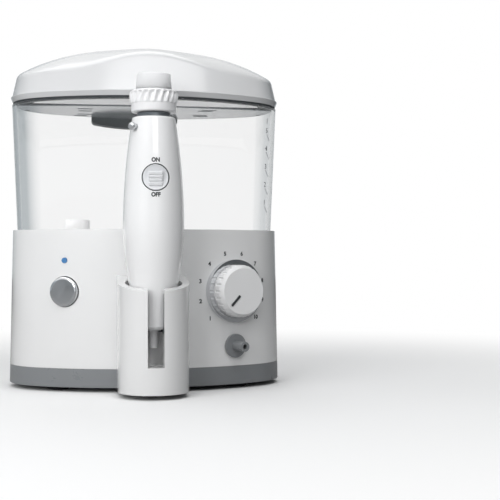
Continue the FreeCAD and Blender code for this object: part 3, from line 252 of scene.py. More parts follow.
def lofted(name, rings, angle=35.0, bored=False):
    """Closed skin over rings of equal count: an extruded circle whose rings are set in place.

    A bored skin ends on its first ring, and the two are welded; any other is capped at both ends.
    """
    fresh()
    count = len(rings[0])
    bpy.ops.mesh.primitive_circle_add(vertices=count, radius=0.1)
    piece = named(name)
    bpy.ops.object.mode_set(mode="EDIT")
    bpy.ops.mesh.select_mode(type="VERT")
    bpy.ops.mesh.select_all(action="SELECT")
    for _ in rings[1:]:
        bpy.ops.mesh.extrude_region()
    mesh = bmesh.from_edit_mesh(piece.data)
    mesh.verts.ensure_lookup_table()
    loop = [mesh.verts[i] for i in range(count)]
    seen = set(loop)
    loops = [loop]
    for _ in rings[1:]:
        loop = [
            next(v for v in (edge.other_vert(vert) for edge in vert.link_edges) if v not in seen)
            for vert in loop
        ]
        seen.update(loop)
        loops.append(loop)
    for loop, ring in zip(loops, rings):
        for vert, place in zip(loop, ring):
            vert.co = place
    if not bored:
        mesh.faces.new(loops[0])
        mesh.faces.new(loops[-1])
    bmesh.update_edit_mesh(piece.data)
    bpy.ops.mesh.select_all(action="SELECT")
    bpy.ops.mesh.remove_doubles(threshold=1e-7)
    bpy.ops.mesh.normals_make_consistent(inside=False)
    bpy.ops.object.mode_set(mode="OBJECT")
    return smoothed(piece, angle)


def eased(corners, steps=4):
    """Path through (a, b, radius) corners, each corner turned into a short arc."""
    path = []
    for i, (a, b, radius) in enumerate(corners):
        here = Vector((a, b))
        if radius <= 0 or i in (0, len(corners) - 1):
            path.append((a, b))
            continue
        before = (Vector(corners[i - 1][:2]) - here).normalized()
        after = (Vector(corners[i + 1][:2]) - here).normalized()
        reach = radius / math.tan(before.angle(after) / 2)
        start = here + before * reach
        end = here + after * reach
        for step in range(steps + 1):
            share = step / steps
            path.append(tuple(start.lerp(here, share).lerp(here.lerp(end, share), share)))
    return held(path)


def held(path, hold=0.3 * MM):
    """Path with a point close to both ends of each long run, so that flats keep their normals."""
    points = [path[0]]
    for before, after in zip(path, path[1:]):
        start, end = Vector(before), Vector(after)
        length = (end - start).length
        if length > 4 * hold:
            points.append(tuple(start.lerp(end, hold / length)))
            points.append(tuple(end.lerp(start, hold / length)))
        points.append(after)
    return points


def finer(path, step):
    """Path with its long runs divided."""
    points = []
    for before, after in zip(path, path[1:]):
        start, end = Vector(before), Vector(after)
        parts = max(1, math.ceil((end - start).length / step))
        points += [tuple(start.lerp(end, i / parts)) for i in range(parts)]
    return points + path[-1:]


def turned(name, profile, origin, axis):
    """Bored solid of revolution from (radius, distance along the axis) points."""
    side = axis.orthogonal().normalized()
    other = axis.cross(side)
    ways = [side * math.cos(turn) + other * math.sin(turn) for turn in turns(ROUND_STEPS)]
    rings = []
    for radius, along in profile + profile[:1]:
        centre = origin + axis * along
        rings.append([centre + way * radius for way in ways])
    return lofted(name, rings, bored=True)


def dressed(node, width, segments=2):
    """Welded copy of a CAD node with its sharp edges rounded."""
    fresh()
    piece = bpy.data.objects.new(node + "_skin", frame["nodes"][node].data.copy())
    bpy.context.collection.objects.link(piece)
    take(piece)
    bpy.ops.mesh.customdata_custom_splitnormals_clear()
    bpy.ops.object.mode_set(mode="EDIT")
    bpy.ops.mesh.select_all(action="SELECT")
    bpy.ops.mesh.remove_doubles(threshold=2e-6)
    bpy.ops.mesh.dissolve_limited(angle_limit=math.radians(0.05))
    bpy.ops.object.mode_set(mode="OBJECT")
    if width:
        rounded(piece, width, segments=segments)
    return smoothed(piece, 30.0)


def rides(piece, body, finish_name, *nodes):
    """Hand a finished piece over: its body, its finish, and the CAD nodes it stands for."""
    modified(piece, "WEIGHTED_NORMAL", keep_sharp=True)
    piece.data.materials.clear()
    piece.data.materials.append(finishes()[finish_name])
    for face in piece.data.polygons:
        face.material_index = 0
    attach(piece, body)
    if nodes:
        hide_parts(*nodes)
    return piece


def dress(node, edge, segments=2, finish_name=None):
    """Show a CAD node in its own form, with its edges rounded by so many millimetres."""
    piece = dressed(node, edge * MM, segments)
    return rides(piece, BODIES[node], finish_name or SLOTS[node], node)


def dress_all(**edges):
    for node, edge in edges.items():
        dress(node, edge)


PRINT_THICK = 0.12 * MM
# Height of a capital as a share of the font's size
CAPITAL = 0.7


def printed(piece, place, out, target):
    """Set a flat piece before a surface, project it onto the surface and give it a thickness."""
    across = UP.cross(out).normalized()
    rise = out.cross(across).normalized()
    turn = Matrix((across, rise, out)).transposed().to_4x4()
    piece.matrix_world = Matrix.Translation(place) @ turn
    modified(
        piece, "SHRINKWRAP", target=target, wrap_method="PROJECT", use_project_z=True,
        use_negative_direction=True, use_positive_direction=False, offset=0.02 * MM)
    modified(piece, "SOLIDIFY", thickness=PRINT_THICK, offset=1.0)
    return settled(piece)


def lettering(text, size, place, out, target, bold=0.05, squeeze=1.0):
    fresh()
    bpy.ops.object.text_add()
    words = bpy.context.object
    words.data.body = text
    words.data.size = size / CAPITAL
    words.data.align_x = "CENTER"
    words.data.align_y = "CENTER"
    words.data.resolution_u = 4
    words.data.offset = bold * size
    words.scale.x = squeeze
    bpy.ops.object.convert(target="MESH")
    return printed(settled(bpy.context.object), place, out, target)


def stroke(length, width, lean, place, out, target):
    fresh()
    bpy.ops.mesh.primitive_grid_add(x_subdivisions=12, y_subdivisions=1, size=1.0)
    bar = bpy.context.object
    bar.scale = (length, width, 1.0)
    bar.rotation_euler.z = lean
    return printed(settled(bar), place, out, target)


class Oval:
    """Tank outline: two end arcs and two long arcs, sampled by the direction of the normal."""

    def __init__(self, half_x, half_y, end_r):
        self.end_r = end_r
        self.end_x = half_x - end_r
        self.long_r = (self.end_x ** 2 + half_y ** 2 - end_r ** 2) / (2 * (half_y - end_r))
        self.long_y = self.long_r - half_y
        self.limit = math.atan2(self.long_y, self.end_x)

    def at(self, turn, grow, z=0.0):
        c, s = math.cos(turn), math.sin(turn)
        fold = abs(math.atan2(s, c))
        if fold < self.limit or fold > math.pi - self.limit:
            x = math.copysign(self.end_x, c) + (self.end_r + grow) * c
            y = (self.end_r + grow) * s
        else:
            x = (self.long_r + grow) * c
            y = (self.long_r + grow) * s - math.copysign(self.long_y, s)
        return Vector((x, TANK_Y + y, z))

    def ring(self, grow, z):
        return [self.at(turn, grow, z) for turn in turns(OVAL_STEPS)]


MOUTH = Oval(TANK_HIGH.x, (TANK_HIGH.y - TANK_LOW.y) / 2, 39 * MM)
OVERHANG = LID_HIGH.x - TANK_HIGH.x


# Materials
# Every finish once made, by the record's slot or by its own name
KNOWN = {}
GRAIN_INPUTS = {
    "Grain Scale": 900.0, "Drift Scale": 18.0, "Tone Low": 0.96, "Tone High": 1.0,
    "Gloss Low": 0.2, "Gloss High": 0.3,
}
TANK_DENSITY = 5.0


def grey(value):
    return (value, value, value, 1.0)


class Tree:
    """Shader nodes of a material, a group or the world."""

    def __init__(self, owner):
        self.nodes, self.links = owner.nodes, owner.links

    def put(self, value, socket):
        """Set a socket to a value, or link it to the socket that feeds it."""
        if isinstance(value, bpy.types.NodeSocket):
            self.links.new(value, socket)
        else:
            socket.default_value = value

    def fill(self, node, **inputs):
        for key, value in inputs.items():
            self.put(value, node.inputs[key.replace("_", " ")])
        return node

    def add(self, kind, **inputs):
        return self.fill(self.nodes.new(kind), **inputs)

    def maths(self, operation, first, second):
        node = self.nodes.new("ShaderNodeMath")
        node.operation = operation
        self.put(first, node.inputs[0])
        self.put(second, node.inputs[1])
        return node.outputs[0]

    def vector(self, operation, value, output):
        node = self.nodes.new("ShaderNodeVectorMath")
        node.operation = operation
        self.put(value, node.inputs[0])
        return node.outputs[output]

    def spread(self, value, low, high, to_low=0.0, to_high=1.0):
        """Map one range of values to another."""
        node = self.add(
            "ShaderNodeMapRange", Value=value, From_Min=low, From_Max=high,
            To_Min=to_low, To_Max=to_high)
        return node.outputs["Result"]

    def mixed(self, share, first, second):
        node = self.nodes.new("ShaderNodeMixShader")
        for socket, value in zip(node.inputs, (share, first, second)):
            self.put(value, socket)
        return node.outputs[0]


def grain_group():
    """Slow drift of tone and gloss with a fine moulded grain."""
    known = bpy.data.node_groups.get("Moulded Grain")
    if known:
        return known
    group = bpy.data.node_groups.new("Moulded Grain", "ShaderNodeTree")
    for label, default in GRAIN_INPUTS.items():
        socket = group.interface.new_socket(label, in_out="INPUT", socket_type="NodeSocketFloat")
        socket.default_value = default
    for label in ("Tone", "Roughness", "Height"):
        group.interface.new_socket(label, in_out="OUTPUT", socket_type="NodeSocketFloat")
    tree = Tree(group)
    entry = tree.nodes.new("NodeGroupInput").outputs
    leave = tree.nodes.new("NodeGroupOutput").inputs
    place = tree.nodes.new("ShaderNodeTexCoord").outputs["Object"]
    smaller = tree.maths("MULTIPLY", entry["Drift Scale"], 3.3)
    drift, grain, smear = (
        tree.add(
            "ShaderNodeTexNoise", Vector=place, Scale=scale, Detail=detail, Roughness=roughness,
            Distortion=distortion)
        for scale, detail, roughness, distortion in (
            (entry["Drift Scale"], 3.0, 0.55, 0.0),
            (entry["Grain Scale"], 2.0, 0.6, 0.0),
            (smaller, 4.0, 0.7, 0.6),
        )
    )
    for noise, kind, label in ((drift, "Tone", "Tone"), (smear, "Gloss", "Roughness")):
        low, high = entry[kind + " Low"], entry[kind + " High"]
        tree.put(tree.spread(noise.outputs["Fac"], 0.3, 0.7, low, high), leave[label])
    tree.put(grain.outputs["Fac"], leave["Height"])
    return group


def finish(
    name, colour, gloss, tone=(0.97, 1.0), grain=900.0, depth=0.02, drift=18.0, **shader
):
    """Material of one colour with the shared grain; plain values go on the shader's own sockets."""
    material = bpy.data.materials.new(name)
    material.use_nodes = True
    tree = Tree(material.node_tree)
    group = tree.nodes.new("ShaderNodeGroup")
    group.node_tree = grain_group()
    for label, value in zip(GRAIN_INPUTS, (grain, drift, *tone, *gloss)):
        group.inputs[label].default_value = value
    tint = tree.nodes.new("ShaderNodeMix")
    tint.data_type = "RGBA"
    tint.blend_type = "MULTIPLY"
    # The factor and the two colours among the sockets for every data type
    for number, value in ((0, 1.0), (6, (*colour, 1.0)), (7, group.outputs["Tone"])):
        tree.put(value, tint.inputs[number])
    bump = tree.add(
        "ShaderNodeBump", Strength=depth, Distance=0.4 * MM, Height=group.outputs["Height"])
    tree.fill(
        tree.nodes["Principled BSDF"], Base_Color=tint.outputs[2],
        Roughness=group.outputs["Roughness"], Normal=bump.outputs["Normal"], **shader)
    return material


def seen_through(material, density):
    """Grey that deepens on the way through the plastic, and lamps that shine into the tank."""
    tree = Tree(material.node_tree)
    volume = tree.add("ShaderNodeVolumeAbsorption", Color=grey(0.0), Density=density)
    passing = tree.add("ShaderNodeBsdfTransparent", Color=grey(0.95))
    shadow = tree.nodes.new("ShaderNodeLightPath").outputs["Is Shadow Ray"]
    surface = tree.mixed(shadow, tree.nodes["Principled BSDF"].outputs[0], passing.outputs[0])
    tree.fill(tree.nodes["Material Output"], Surface=surface, Volume=volume.outputs[0])


def finishes():
    """Every finish of the irrigator, by the record's slot or its own name."""
    if KNOWN:
        return KNOWN
    tones = bpy.context.scene.irrigator_tones
    plain = {"depth": 0.0}
    fine = {"depth": 0.06, "grain": 1600.0}
    metal = {"depth": 0.05, "grain": 2400.0, "Metallic": 1.0}
    plated = {"depth": 0.004, "Metallic": 1.0}
    shine = {"depth": 0.01, "Coat_Weight": 1.0, "Coat_Roughness": 0.13}
    polished = {**shine, "Coat_Roughness": 0.04}
    milky = {
        **fine, "Subsurface_Weight": 1.0, "Subsurface_Scale": 0.02,
        "Subsurface_Radius": (1.0, 1.0, 1.0),
    }
    clear = {
        "depth": 0.001, "drift": 9.0, "tone": (0.995, 1.0), "Transmission_Weight": 1.0, "IOR": 1.46,
    }
    rubber = {"depth": 0.2, "grain": 1200.0, "tone": (0.8, 1.1)}
    board = {"depth": 0.1, "grain": 700.0, "tone": (0.7, 1.1)}
    mottled = {**fine, "tone": (0.9, 1.05)}
    white, ring, ink = (0.2, 0.27), (0.18, 0.28), (0.4, 0.5)
    for slot, name, colour, gloss, values in (
        ("white_gloss", "White gloss plastic", tones.white, white, shine),
        ("lid_white", "Lid plastic", tones.lid, white, shine),
        ("hand_white", "Handpiece plastic", tones.hand, white, polished),
        ("neck", "Grey neck metal", (0.25, 0.27, 0.29), (0.36, 0.44), {"Metallic": 0.85}),
        ("ball", "Satin plated ball", (0.62, 0.63, 0.65), (0.2, 0.26), {"Metallic": 0.75}),
        ("cap", "Nozzle cap plastic", (0.82, 0.825, 0.845), (0.36, 0.44), milky),
        ("collar", "Collar plastic", (0.9, 0.9, 0.91), (0.3, 0.38), fine),
        ("silver", "Satin silver plastic", (0.74, 0.75, 0.77), (0.3, 0.4), {"Coat_Weight": 0.3}),
        ("white_satin", "White satin plastic", tones.satin, (0.32, 0.42), fine),
        ("grey_dark", "Dark grey plastic", tones.grey, (0.3, 0.42), mottled),
        ("grey_mid", "Mid grey plastic", tones.mid_grey, (0.26, 0.36), fine),
        ("clear", "Clear tank plastic", tones.tank, (0.0, 0.012), clear),
        ("frosted", "Glossy tray plastic", tones.tray, (0.12, 0.15), plain),
        ("ceiling", "Plain pale plastic", tones.satin, (0.45, 0.5), plain),
        ("bright_trim", "Bright plated trim", (0.72, 0.73, 0.75), (0.1, 0.18), plated),
        ("steel", "Turned steel", (0.55, 0.56, 0.58), (0.22, 0.36), metal),
        ("brass", "Turned brass", (0.66, 0.48, 0.2), (0.2, 0.34), metal),
        ("rubber", "Black rubber", (0.025, 0.025, 0.028), (0.55, 0.75), rubber),
        ("hose", "Soft tube", (0.72, 0.74, 0.75), (0.25, 0.36), {"Transmission_Weight": 0.35}),
        ("nylon", "Moulded nylon", (0.76, 0.74, 0.66), (0.4, 0.52), {"depth": 0.08, "grain": 1300.0}),
        ("board", "Coated board", (0.03, 0.16, 0.07), (0.2, 0.4), board),
        ("lamp", "Tinted lens", (0.15, 0.45, 0.9), (0.05, 0.1), {"Transmission_Weight": 0.5}),
        ("tip_blue", "Blue ring plastic", (0.03, 0.14, 0.55), ring, {}),
        ("tip_green", "Green ring plastic", (0.04, 0.32, 0.1), ring, {}),
        ("tip_pink", "Pink ring plastic", (0.7, 0.12, 0.26), ring, {}),
        ("tip_yellow", "Yellow ring plastic", (0.85, 0.5, 0.03), ring, {}),
        ("mark", "Pale printed marks", (0.25, 0.26, 0.27), ink, {"tone": (0.9, 1.05)}),
        ("ink", "Grey printed marks", tones.ink, ink, {"tone": (0.85, 1.1)}),
        # Near-black used for painted shade: the strip under the lid's lip, the tray's slots and the gap round the
        # switch; also for the dark patch at each end of the tray
        ("groove", "Shadow groove plastic", (0.03, 0.034, 0.037), (0.5, 0.6), {"tone": (0.8, 1.1)}),
    ):
        KNOWN[slot] = finish(name, colour, gloss, **values)
    seen_through(KNOWN["clear"], TANK_DENSITY)
    return KNOWN


# Lid
BUMP_SPAN = 0.68
CROWN = 2.8
DOME_H = LID_H - 0.7 * MM
# Drop of the dome's inside for each unit that its wall is set in
DOME_DROP = 1.15
CREASE_TRIES = 16
SIDE_SHARES = (0.03, 0.35, 0.7, 0.97)
CREASE_SHARES = (0.0, 0.2, 0.4, 0.6, 0.8, 1.0)
DOME_SHARES = (0.97, 0.93, 0.87, 0.79, 0.7, 0.6, 0.49, 0.38, 0.27, 0.17, 0.08, 0.02)


def dome_height(x, y, sizes):
    """Height of the domed top above the rim at a place over the tank."""
    half_x = MOUTH.end_x + MOUTH.end_r + OVERHANG - sizes.end_lean - sizes.lip_step
    half_y = MOUTH.long_r - MOUTH.long_y + OVERHANG - sizes.lean - sizes.lip_step - 1.0 * MM
    share = math.hypot(x / half_x, y / half_y)
    cosine = x / half_x / share if share > 1e-6 else 0.0
    crease = sizes.side_height
    if y < 0 and abs(cosine) < BUMP_SPAN:
        crease += sizes.bump * math.cos(math.pi / 2 * cosine / BUMP_SPAN) ** 2
    return DOME_H - (DOME_H - crease) * share ** CROWN


def lid_section(turn, sizes, inset, lip):
    """Section of the lid in one direction: up the lip and the side, over the crease, to the top."""
    foot = OVERHANG - inset
    points = [MOUTH.at(turn, foot + grow, LID_Z + z) for grow, z in lip]

    def side(height):
        lean = sizes.end_lean + (sizes.lean - sizes.end_lean) * math.sin(turn) ** 2
        lean *= (height - sizes.lip_height) / (sizes.side_height - sizes.lip_height)
        return MOUTH.at(turn, foot - sizes.lip_step - lean, LID_Z + height)

    def dome(place):
        height = dome_height(place.x, place.y - TANK_Y, sizes) - DOME_DROP * inset
        return Vector((place.x, place.y, LID_Z + height))

    height = sizes.side_height
    for _ in range(CREASE_TRIES):
        height = dome(side(height)).z - LID_Z
    crease = side(height)
    below = side(height - sizes.crease)
    centre = Vector((0.0, TANK_Y, 0.0))
    reach = (crease - centre).to_2d().length
    beside = dome(centre.lerp(crease, 1 - 1.3 * sizes.crease / reach))
    start = points[-1]
    points += [start.lerp(below, share) for share in SIDE_SHARES]
    for share in CREASE_SHARES:
        points.append(below.lerp(crease, share).lerp(crease.lerp(beside, share), share))
    return points + [dome(centre.lerp(beside, share)) for share in DOME_SHARES]


def lid_rings(sizes, inset, lip):
    sections = [lid_section(turn, sizes, inset, lip) for turn in turns(OVAL_STEPS)]
    return [list(ring) for ring in zip(*sections)]


def add_painted_shade_strip(sizes):
    """Painted shade: a dark strip in the groove under the lip that stands for the shadow under the lid's overhang,
    wider inward at the ends of the oval.
    """
    inner = -9.0 * MM
    outer = -sizes.lip_undercut - 0.2 * MM
    top = sizes.painted_shade_height - 0.02 * MM
    section = eased([
        (inner, 0.15 * MM, 0.0),
        (-2.4 * MM, 0.15 * MM, 0.1 * MM),
        (-2.3 * MM, -0.2 * MM, 0.1 * MM),
        (outer, -0.2 * MM, 0.2 * MM),
        (outer, top, 0.0),
        (inner, top, 0.0),
    ])
    rings = []
    for grow, z in section + section[:1]:
        wide = 4 * MM if grow < -8 * MM else 0.0
        rings.append([
            MOUTH.at(turn, OVERHANG + grow - wide * math.cos(turn) ** 4, LID_Z + z)
            for turn in turns(OVAL_STEPS)
        ])
    rides(lofted("lid_painted_shade_strip", rings, bored=True), "lid", "groove")


def add_lining(sizes):
    """Pale lining of the lid's front: a flat ceiling, and a wall that closes it at the tray."""
    lip_h, foot = sizes.lip_height, 0.3 * MM
    lip = [(-38 * MM, foot), (0.0, foot), (0.0, lip_h * 0.5), (-0.2 * MM, lip_h)]
    panel = lofted("lid_panel", lid_rings(sizes, sizes.lid_wall - 0.4 * MM, lip))
    wall_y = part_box("tip_tray")[0].y + 1.4 * MM
    take(panel)
    bpy.ops.object.mode_set(mode="EDIT")
    bpy.ops.mesh.select_all(action="SELECT")
    bpy.ops.mesh.bisect(
        plane_co=(0, wall_y, 0), plane_no=(0, 1, 0), use_fill=True, clear_outer=True)
    bpy.ops.mesh.select_all(action="SELECT")
    bpy.ops.mesh.normals_make_consistent(inside=False)
    bpy.ops.object.mode_set(mode="OBJECT")
    rides(smoothed(rounded(panel, 0.15 * MM)), "lid", "ceiling")


def add_knuckle():
    pin = middle("hinge_pin")
    low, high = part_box("hinge_bracket")
    width = 2 * ((high.x - low.x) / 2 - 7.4 * MM)
    radius = 3.5 * MM
    barrel = rounded(rod("lid_knuckle", radius, width, pin, ALONG_X), 0.5 * MM)
    wall_y = MOUTH.at(math.pi / 2, OVERHANG).y - 5.0 * MM
    low, high = LID_Z + 0.2 * MM, pin.z + radius - 1.0 * MM
    web = block(
        "lid_web", (pin.x, (wall_y + pin.y) / 2, (low + high) / 2),
        (width, pin.y - wall_y, high - low))
    rounded(web, 0.4 * MM)
    rides(smoothed(joined([barrel, web], "lid_knuckle")), "lid", "lid_white")


class IRRIGATOR_OT_lid(bpy.types.Operator):
    """Domed lid with its undercut lip and soft crease, and the hinge knuckle behind it"""

    bl_idname = "irrigator.lid"
    bl_label = "Lid"

    def execute(self, context):
        sizes = context.scene.irrigator_sizes
        lip_h = sizes.lip_height
        # The lip's foot is set in up to the height of the strip of painted shade under it
        painted_shade_h = sizes.painted_shade_height
        outer_lip = eased([
            (-2.3 * MM, 0.0, 0.0),
            (-2.2 * MM, 0.0, 0.0),
            (-2.1 * MM, painted_shade_h, 0.1 * MM),
            (-sizes.lip_undercut, painted_shade_h, 0.25 * MM),
            (0.0, lip_h, 0.5 * MM),
            (-sizes.lip_step, lip_h + 0.15 * MM, 0.1 * MM),
            (-sizes.lip_step - 0.3 * MM, lip_h + 0.9 * MM, 0.0),
        ])
        inner_lip = [(0.0, 0.0), (0.0, lip_h * 0.5), (-0.2 * MM, lip_h)]
        inside = lid_rings(sizes, sizes.lid_wall, inner_lip)
        rings = inside[::-1] + lid_rings(sizes, 0.0, outer_lip)
        rides(lofted("lid_dome", rings), "lid", "lid_white", "lid_shell")
        # Dark strip of painted shade under the lip
        add_painted_shade_strip(sizes)
        add_lining(sizes)
        add_knuckle()
        return {"FINISHED"}


# Tank
MARK_TURN = math.radians(-41.0)
LEVELS = (("l", 177.6), ("5", 171.3), ("4", 159.2), ("3", 147.1), ("2", 135.0), ("1", 122.9))


def wall_out(z, sizes):
    """How far the drafted outer wall of the tank stands out of its rim at a height."""
    return -sizes.draft / (RIM_Z - SEAT_Z) * (RIM_Z - z)


def add_marks(tank, sizes):
    """Figures on the wall, each but the topmost sign with a slanted stroke below it."""

    def spot(turn, level, drop=0.0):
        place = MOUTH.at(turn, wall_out(level, sizes) + 2.0 * MM, level - drop)
        return place, Vector((math.cos(turn), math.sin(turn), 0.0)), tank

    marks = []
    size, slant = 1.1 * sizes.print_height, math.radians(-46)
    for text, level in LEVELS:
        z = level * MM
        marks.append(lettering(text, size, *spot(MARK_TURN, z), bold=0.02))
        if text != "l":
            turn = MARK_TURN + 2.0 * MM / (MOUTH.end_r + wall_out(z, sizes))
            marks.append(stroke(6 * MM, 0.35 * MM, slant, *spot(turn, z, 4.4 * MM)))
    rides(joined(marks, "level_marks"), "tank", "mark")


class IRRIGATOR_OT_tank(bpy.types.Operator):
    """Clear tank with drafted oval walls, rounded floor, tray ledge and printed level marks"""

    bl_idname = "irrigator.tank"
    bl_label = "Tank"

    def execute(self, context):
        sizes = context.scene.irrigator_sizes
        wall = sizes.tank_wall
        floor = SEAT_Z + sizes.tank_floor
        foot, inner_foot = wall_out(SEAT_Z, sizes), wall_out(floor, sizes) - wall
        ledge, ledge_z = 1.2 * MM - wall, RIM_Z - 1.0 * MM
        section = eased([
            (foot - 30 * MM, SEAT_Z, 0.0),
            (foot, SEAT_Z, 3.0 * MM),
            (0.0, RIM_Z, 0.5 * MM),
            (ledge, RIM_Z, 0.2 * MM),
            (ledge, ledge_z, 0.15 * MM),
            (-wall, ledge_z, 0.3 * MM),
            (inner_foot, floor, 3.0 * MM),
            (inner_foot - 27 * MM, floor, 0.0),
        ], steps=5)
        tank = lofted("tank_clear", [MOUTH.ring(grow, z) for grow, z in section])
        valve = middle("valve_cage")
        carved(tank, rod("valve_hole", 8.06 * MM, 12 * MM, (valve.x, valve.y, SEAT_Z)))
        smoothed(tank)
        rides(tank, "tank", "clear", "water_tank")
        add_marks(tank, sizes)
        return {"FINISHED"}


# Storage
# Middle and length in millimetres of each dark patch under the tray: the painted shade of a slot, or a dark patch
# at each end
TRAY_DARK_PATCHES = (
    (43, 13, 9.6), (39.5, 40.5, 9.6), (-41, 29, 9), (-44, 54.5, 9), (81.5, 33, 4), (-81.5, 33, 4),
)
PATCH_WIDTH, PATCH_HEIGHT = 3.4 * MM, 0.1 * MM


def tray_under(tray, x, y):
    """Height of the tray's underside."""
    found, place, _, _ = tray.ray_cast(Vector((x, y, SEAT_Z)), UP)
    if not found:
        raise RuntimeError("The tray doesn't reach this place")
    return place.z


def add_bracket(sizes):
    """Bowed bar with round corners, hollowed by the tank wall, and the two ears of the hinge."""
    low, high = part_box("hinge_bracket")
    pin = middle("hinge_pin")
    half = (high.x - low.x) / 2 - 0.15 * MM
    ear_w, ear_r = 7.0 * MM, 3.5 * MM
    end_z, top_z = low.z + 4.0 * MM, RIM_Z - 0.8 * MM
    reach, bow, corner = half + 1.2 * MM, 3.1 * MM, 3.2 * MM
    outline = [(-reach, top_z, 0.0), (-reach, end_z, corner)]
    for share in (-0.72, -0.5, -0.25, 0.0, 0.25, 0.5, 0.72):
        outline.append((reach * share, end_z - bow * (1 - share ** 2), 0.0))
    outline += [(reach, end_z, corner), (reach, top_z, 0.0)]
    path = eased(outline, steps=8)
    rings = [[Vector((pin.x + x, y, z)) for x, z in path] for y in (TANK_Y, high.y)]
    bar = lofted("bracket_bar", rings)
    levels = (RIM_Z - 30 * MM, RIM_Z + 5 * MM)
    rings = [MOUTH.ring(0.15 * MM + wall_out(z, sizes), z) for z in levels]
    carved(bar, lofted("tank_room", rings))
    pieces = [rounded(bar, 0.6 * MM, 40.0, 3)]
    foot = end_z + 3.0 * MM
    for side in (-1, 1):
        x = pin.x + side * (half - ear_w / 2)
        ear = rod("bracket_ear", ear_r, ear_w, (x, pin.y, pin.z), ALONG_X)
        pieces.append(rounded(ear, 0.6 * MM))
        place, size = (x, pin.y, (foot + pin.z) / 2), (ear_w, 2 * ear_r, pin.z - foot)
        pieces.append(rounded(block("bracket_post", place, size), 0.6 * MM))
    bracket = smoothed(joined(pieces, "hinge_bracket_bowed"))
    rides(bracket, "tank", "grey_dark", "hinge_bracket")


class IRRIGATOR_OT_storage(bpy.types.Operator):
    """Tip tray, spare tips, hinge bracket and the tank's valve"""

    bl_idname = "irrigator.storage"
    bl_label = "Tray, tips and hinge"

    def execute(self, context):
        tray = dress("tip_tray", 0.2)
        dark_patches = []
        # Painted shade: a thin near-black patch under the tray for each slot, and a dark patch at each end
        for x, y, length in TRAY_DARK_PATCHES:
            place = (x * MM, y * MM, tray_under(tray, x * MM, y * MM))
            slot = block("tray_dark_patch", place, (length * MM, PATCH_WIDTH, PATCH_HEIGHT))
            dark_patches.append(rounded(slot, 0.04 * MM))
        rides(smoothed(joined(dark_patches, "tray_dark_patches")), "tank", "groove")
        add_bracket(context.scene.irrigator_sizes)
        dress_all(hinge_pin=0.3, valve_cage=0.3)
        for number in range(1, 5):
            dress(f"jet_tip_{number}", 0.2)
            dress(f"tip_ring_{number}", 0.4)
        return {"FINISHED"}


# Handpiece
SWITCH_R = 8.45 * MM
DISH_R = SWITCH_R - 0.6 * MM
DISH_SHARES = (0.92, 0.84, 0.74, 0.62, 0.5, 0.36, 0.2, 0.06)


def grip_front(rear, x, z):
    """Front of the grip at a place beside its axis, read from the back shell."""
    found, place, _, _ = rear.ray_cast(Vector((0, HAND_Y + 0.1, z)), FRONT)
    if not found:
        raise RuntimeError("The grip has no surface at this height")
    return HAND_Y - math.sqrt((place.y - HAND_Y) ** 2 - x ** 2)


def add_shoulder(rear):
    """Crisp upper edge of the grip, carried on in line with the sides below it."""
    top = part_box("handle_rear")[1].z
    drop, span = 9 * MM, 2 * MM
    side, lower = (HAND_Y - grip_front(rear, 0.0, top - way) for way in (drop, drop + span))
    slope = (lower - side) / span
    foot_r, top_r = side + 0.04 * MM, side - slope * drop + 0.04 * MM
    top_z = top + 0.05 * MM
    profile = eased([
        (foot_r - 1.2 * MM, top - drop, 0.0),
        (foot_r, top - drop, 0.0),
        (top_r, top_z, 1.3 * MM),
        (top_r - 4.5 * MM, top_z, 0.0),
        (top_r - 4.5 * MM, top - 1.2 * MM, 0.0),
    ], steps=8)
    shoulder = turned("grip_shoulder", profile, Vector((0, HAND_Y, 0)), UP)
    turn = Vector(JOINTS["eject_press"]["axis"]).to_track_quat("Z", "Y").to_euler()
    place = middle("eject_button")
    carved(shoulder, rod("button_hole", 2.4 * MM, 16 * MM, place, turn, sides=48))
    rides(smoothed(shoulder), "handpiece", "hand_white")


def add_switch(front, rear):
    """Round dish that follows the grip, a near-black ring of painted shade in the thin gap round it, and the
    sliding thumb piece.
    """
    low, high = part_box("switch_plate")
    centre_z = (low.z + high.z) / 2
    back = high.y
    place, turn = (0, HAND_Y - 28 * MM, centre_z), (math.pi / 2, 0, 0)
    carved(front, rod("switch_hole", SWITCH_R, 40 * MM, place, turn, ROUND_STEPS))

    def ring(radius, sink):
        """Points on a circle, sunk below the grip, or at the back of the plate."""
        points = []
        for turn in turns(ROUND_STEPS):
            x, z = radius * math.cos(turn), centre_z + radius * math.sin(turn)
            y = back if sink is None else grip_front(rear, x, z) + sink
            points.append(Vector((x, y, z)))
        return points

    edge = 0.1 * MM
    rings = [ring(0.5 * MM, None), ring(DISH_R, None), ring(DISH_R, 0.45 * MM)]
    rings += [ring(DISH_R - 0.12 * MM, 0.18 * MM), ring(DISH_R - 0.35 * MM, edge)]
    for share in DISH_SHARES:
        rings.append(ring(DISH_R * share, edge + 1.3 * MM * (1 - share ** 2)))
    rides(lofted("switch_dish", rings), "handpiece", "silver", "switch_plate")
    # Painted shade: a near-black ring sunk in the gap between the dish and the grip, standing for the shadow in
    # the gap
    inner, outer, sunk = DISH_R + 0.02 * MM, SWITCH_R - 0.02 * MM, 0.5 * MM
    rings = [ring(inner, None), ring(inner, sunk), ring(outer, sunk), ring(outer, None)]
    rides(lofted("switch_gap_shade", rings + rings[:1], bored=True), "handpiece", "groove")

    low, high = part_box("flow_switch")
    top, thick = high.z + 1.4 * MM, 2.8 * MM
    thumb_z = (low.z + top) / 2
    thumb = block(
        "switch_thumb", (0, low.y + thick / 2, thumb_z), (high.x - low.x, thick, top - low.z))
    rounded(thumb, 0.9 * MM, segments=4)
    for step in range(-1, 2):
        place = (0, low.y - 0.3 * MM, thumb_z + step * 2.0 * MM)
        carved(thumb, rod("thumb_groove", 0.7 * MM, 20 * MM, place, ALONG_X, sides=32))
    rides(smoothed(thumb), "flow_slider", "silver", "flow_switch")


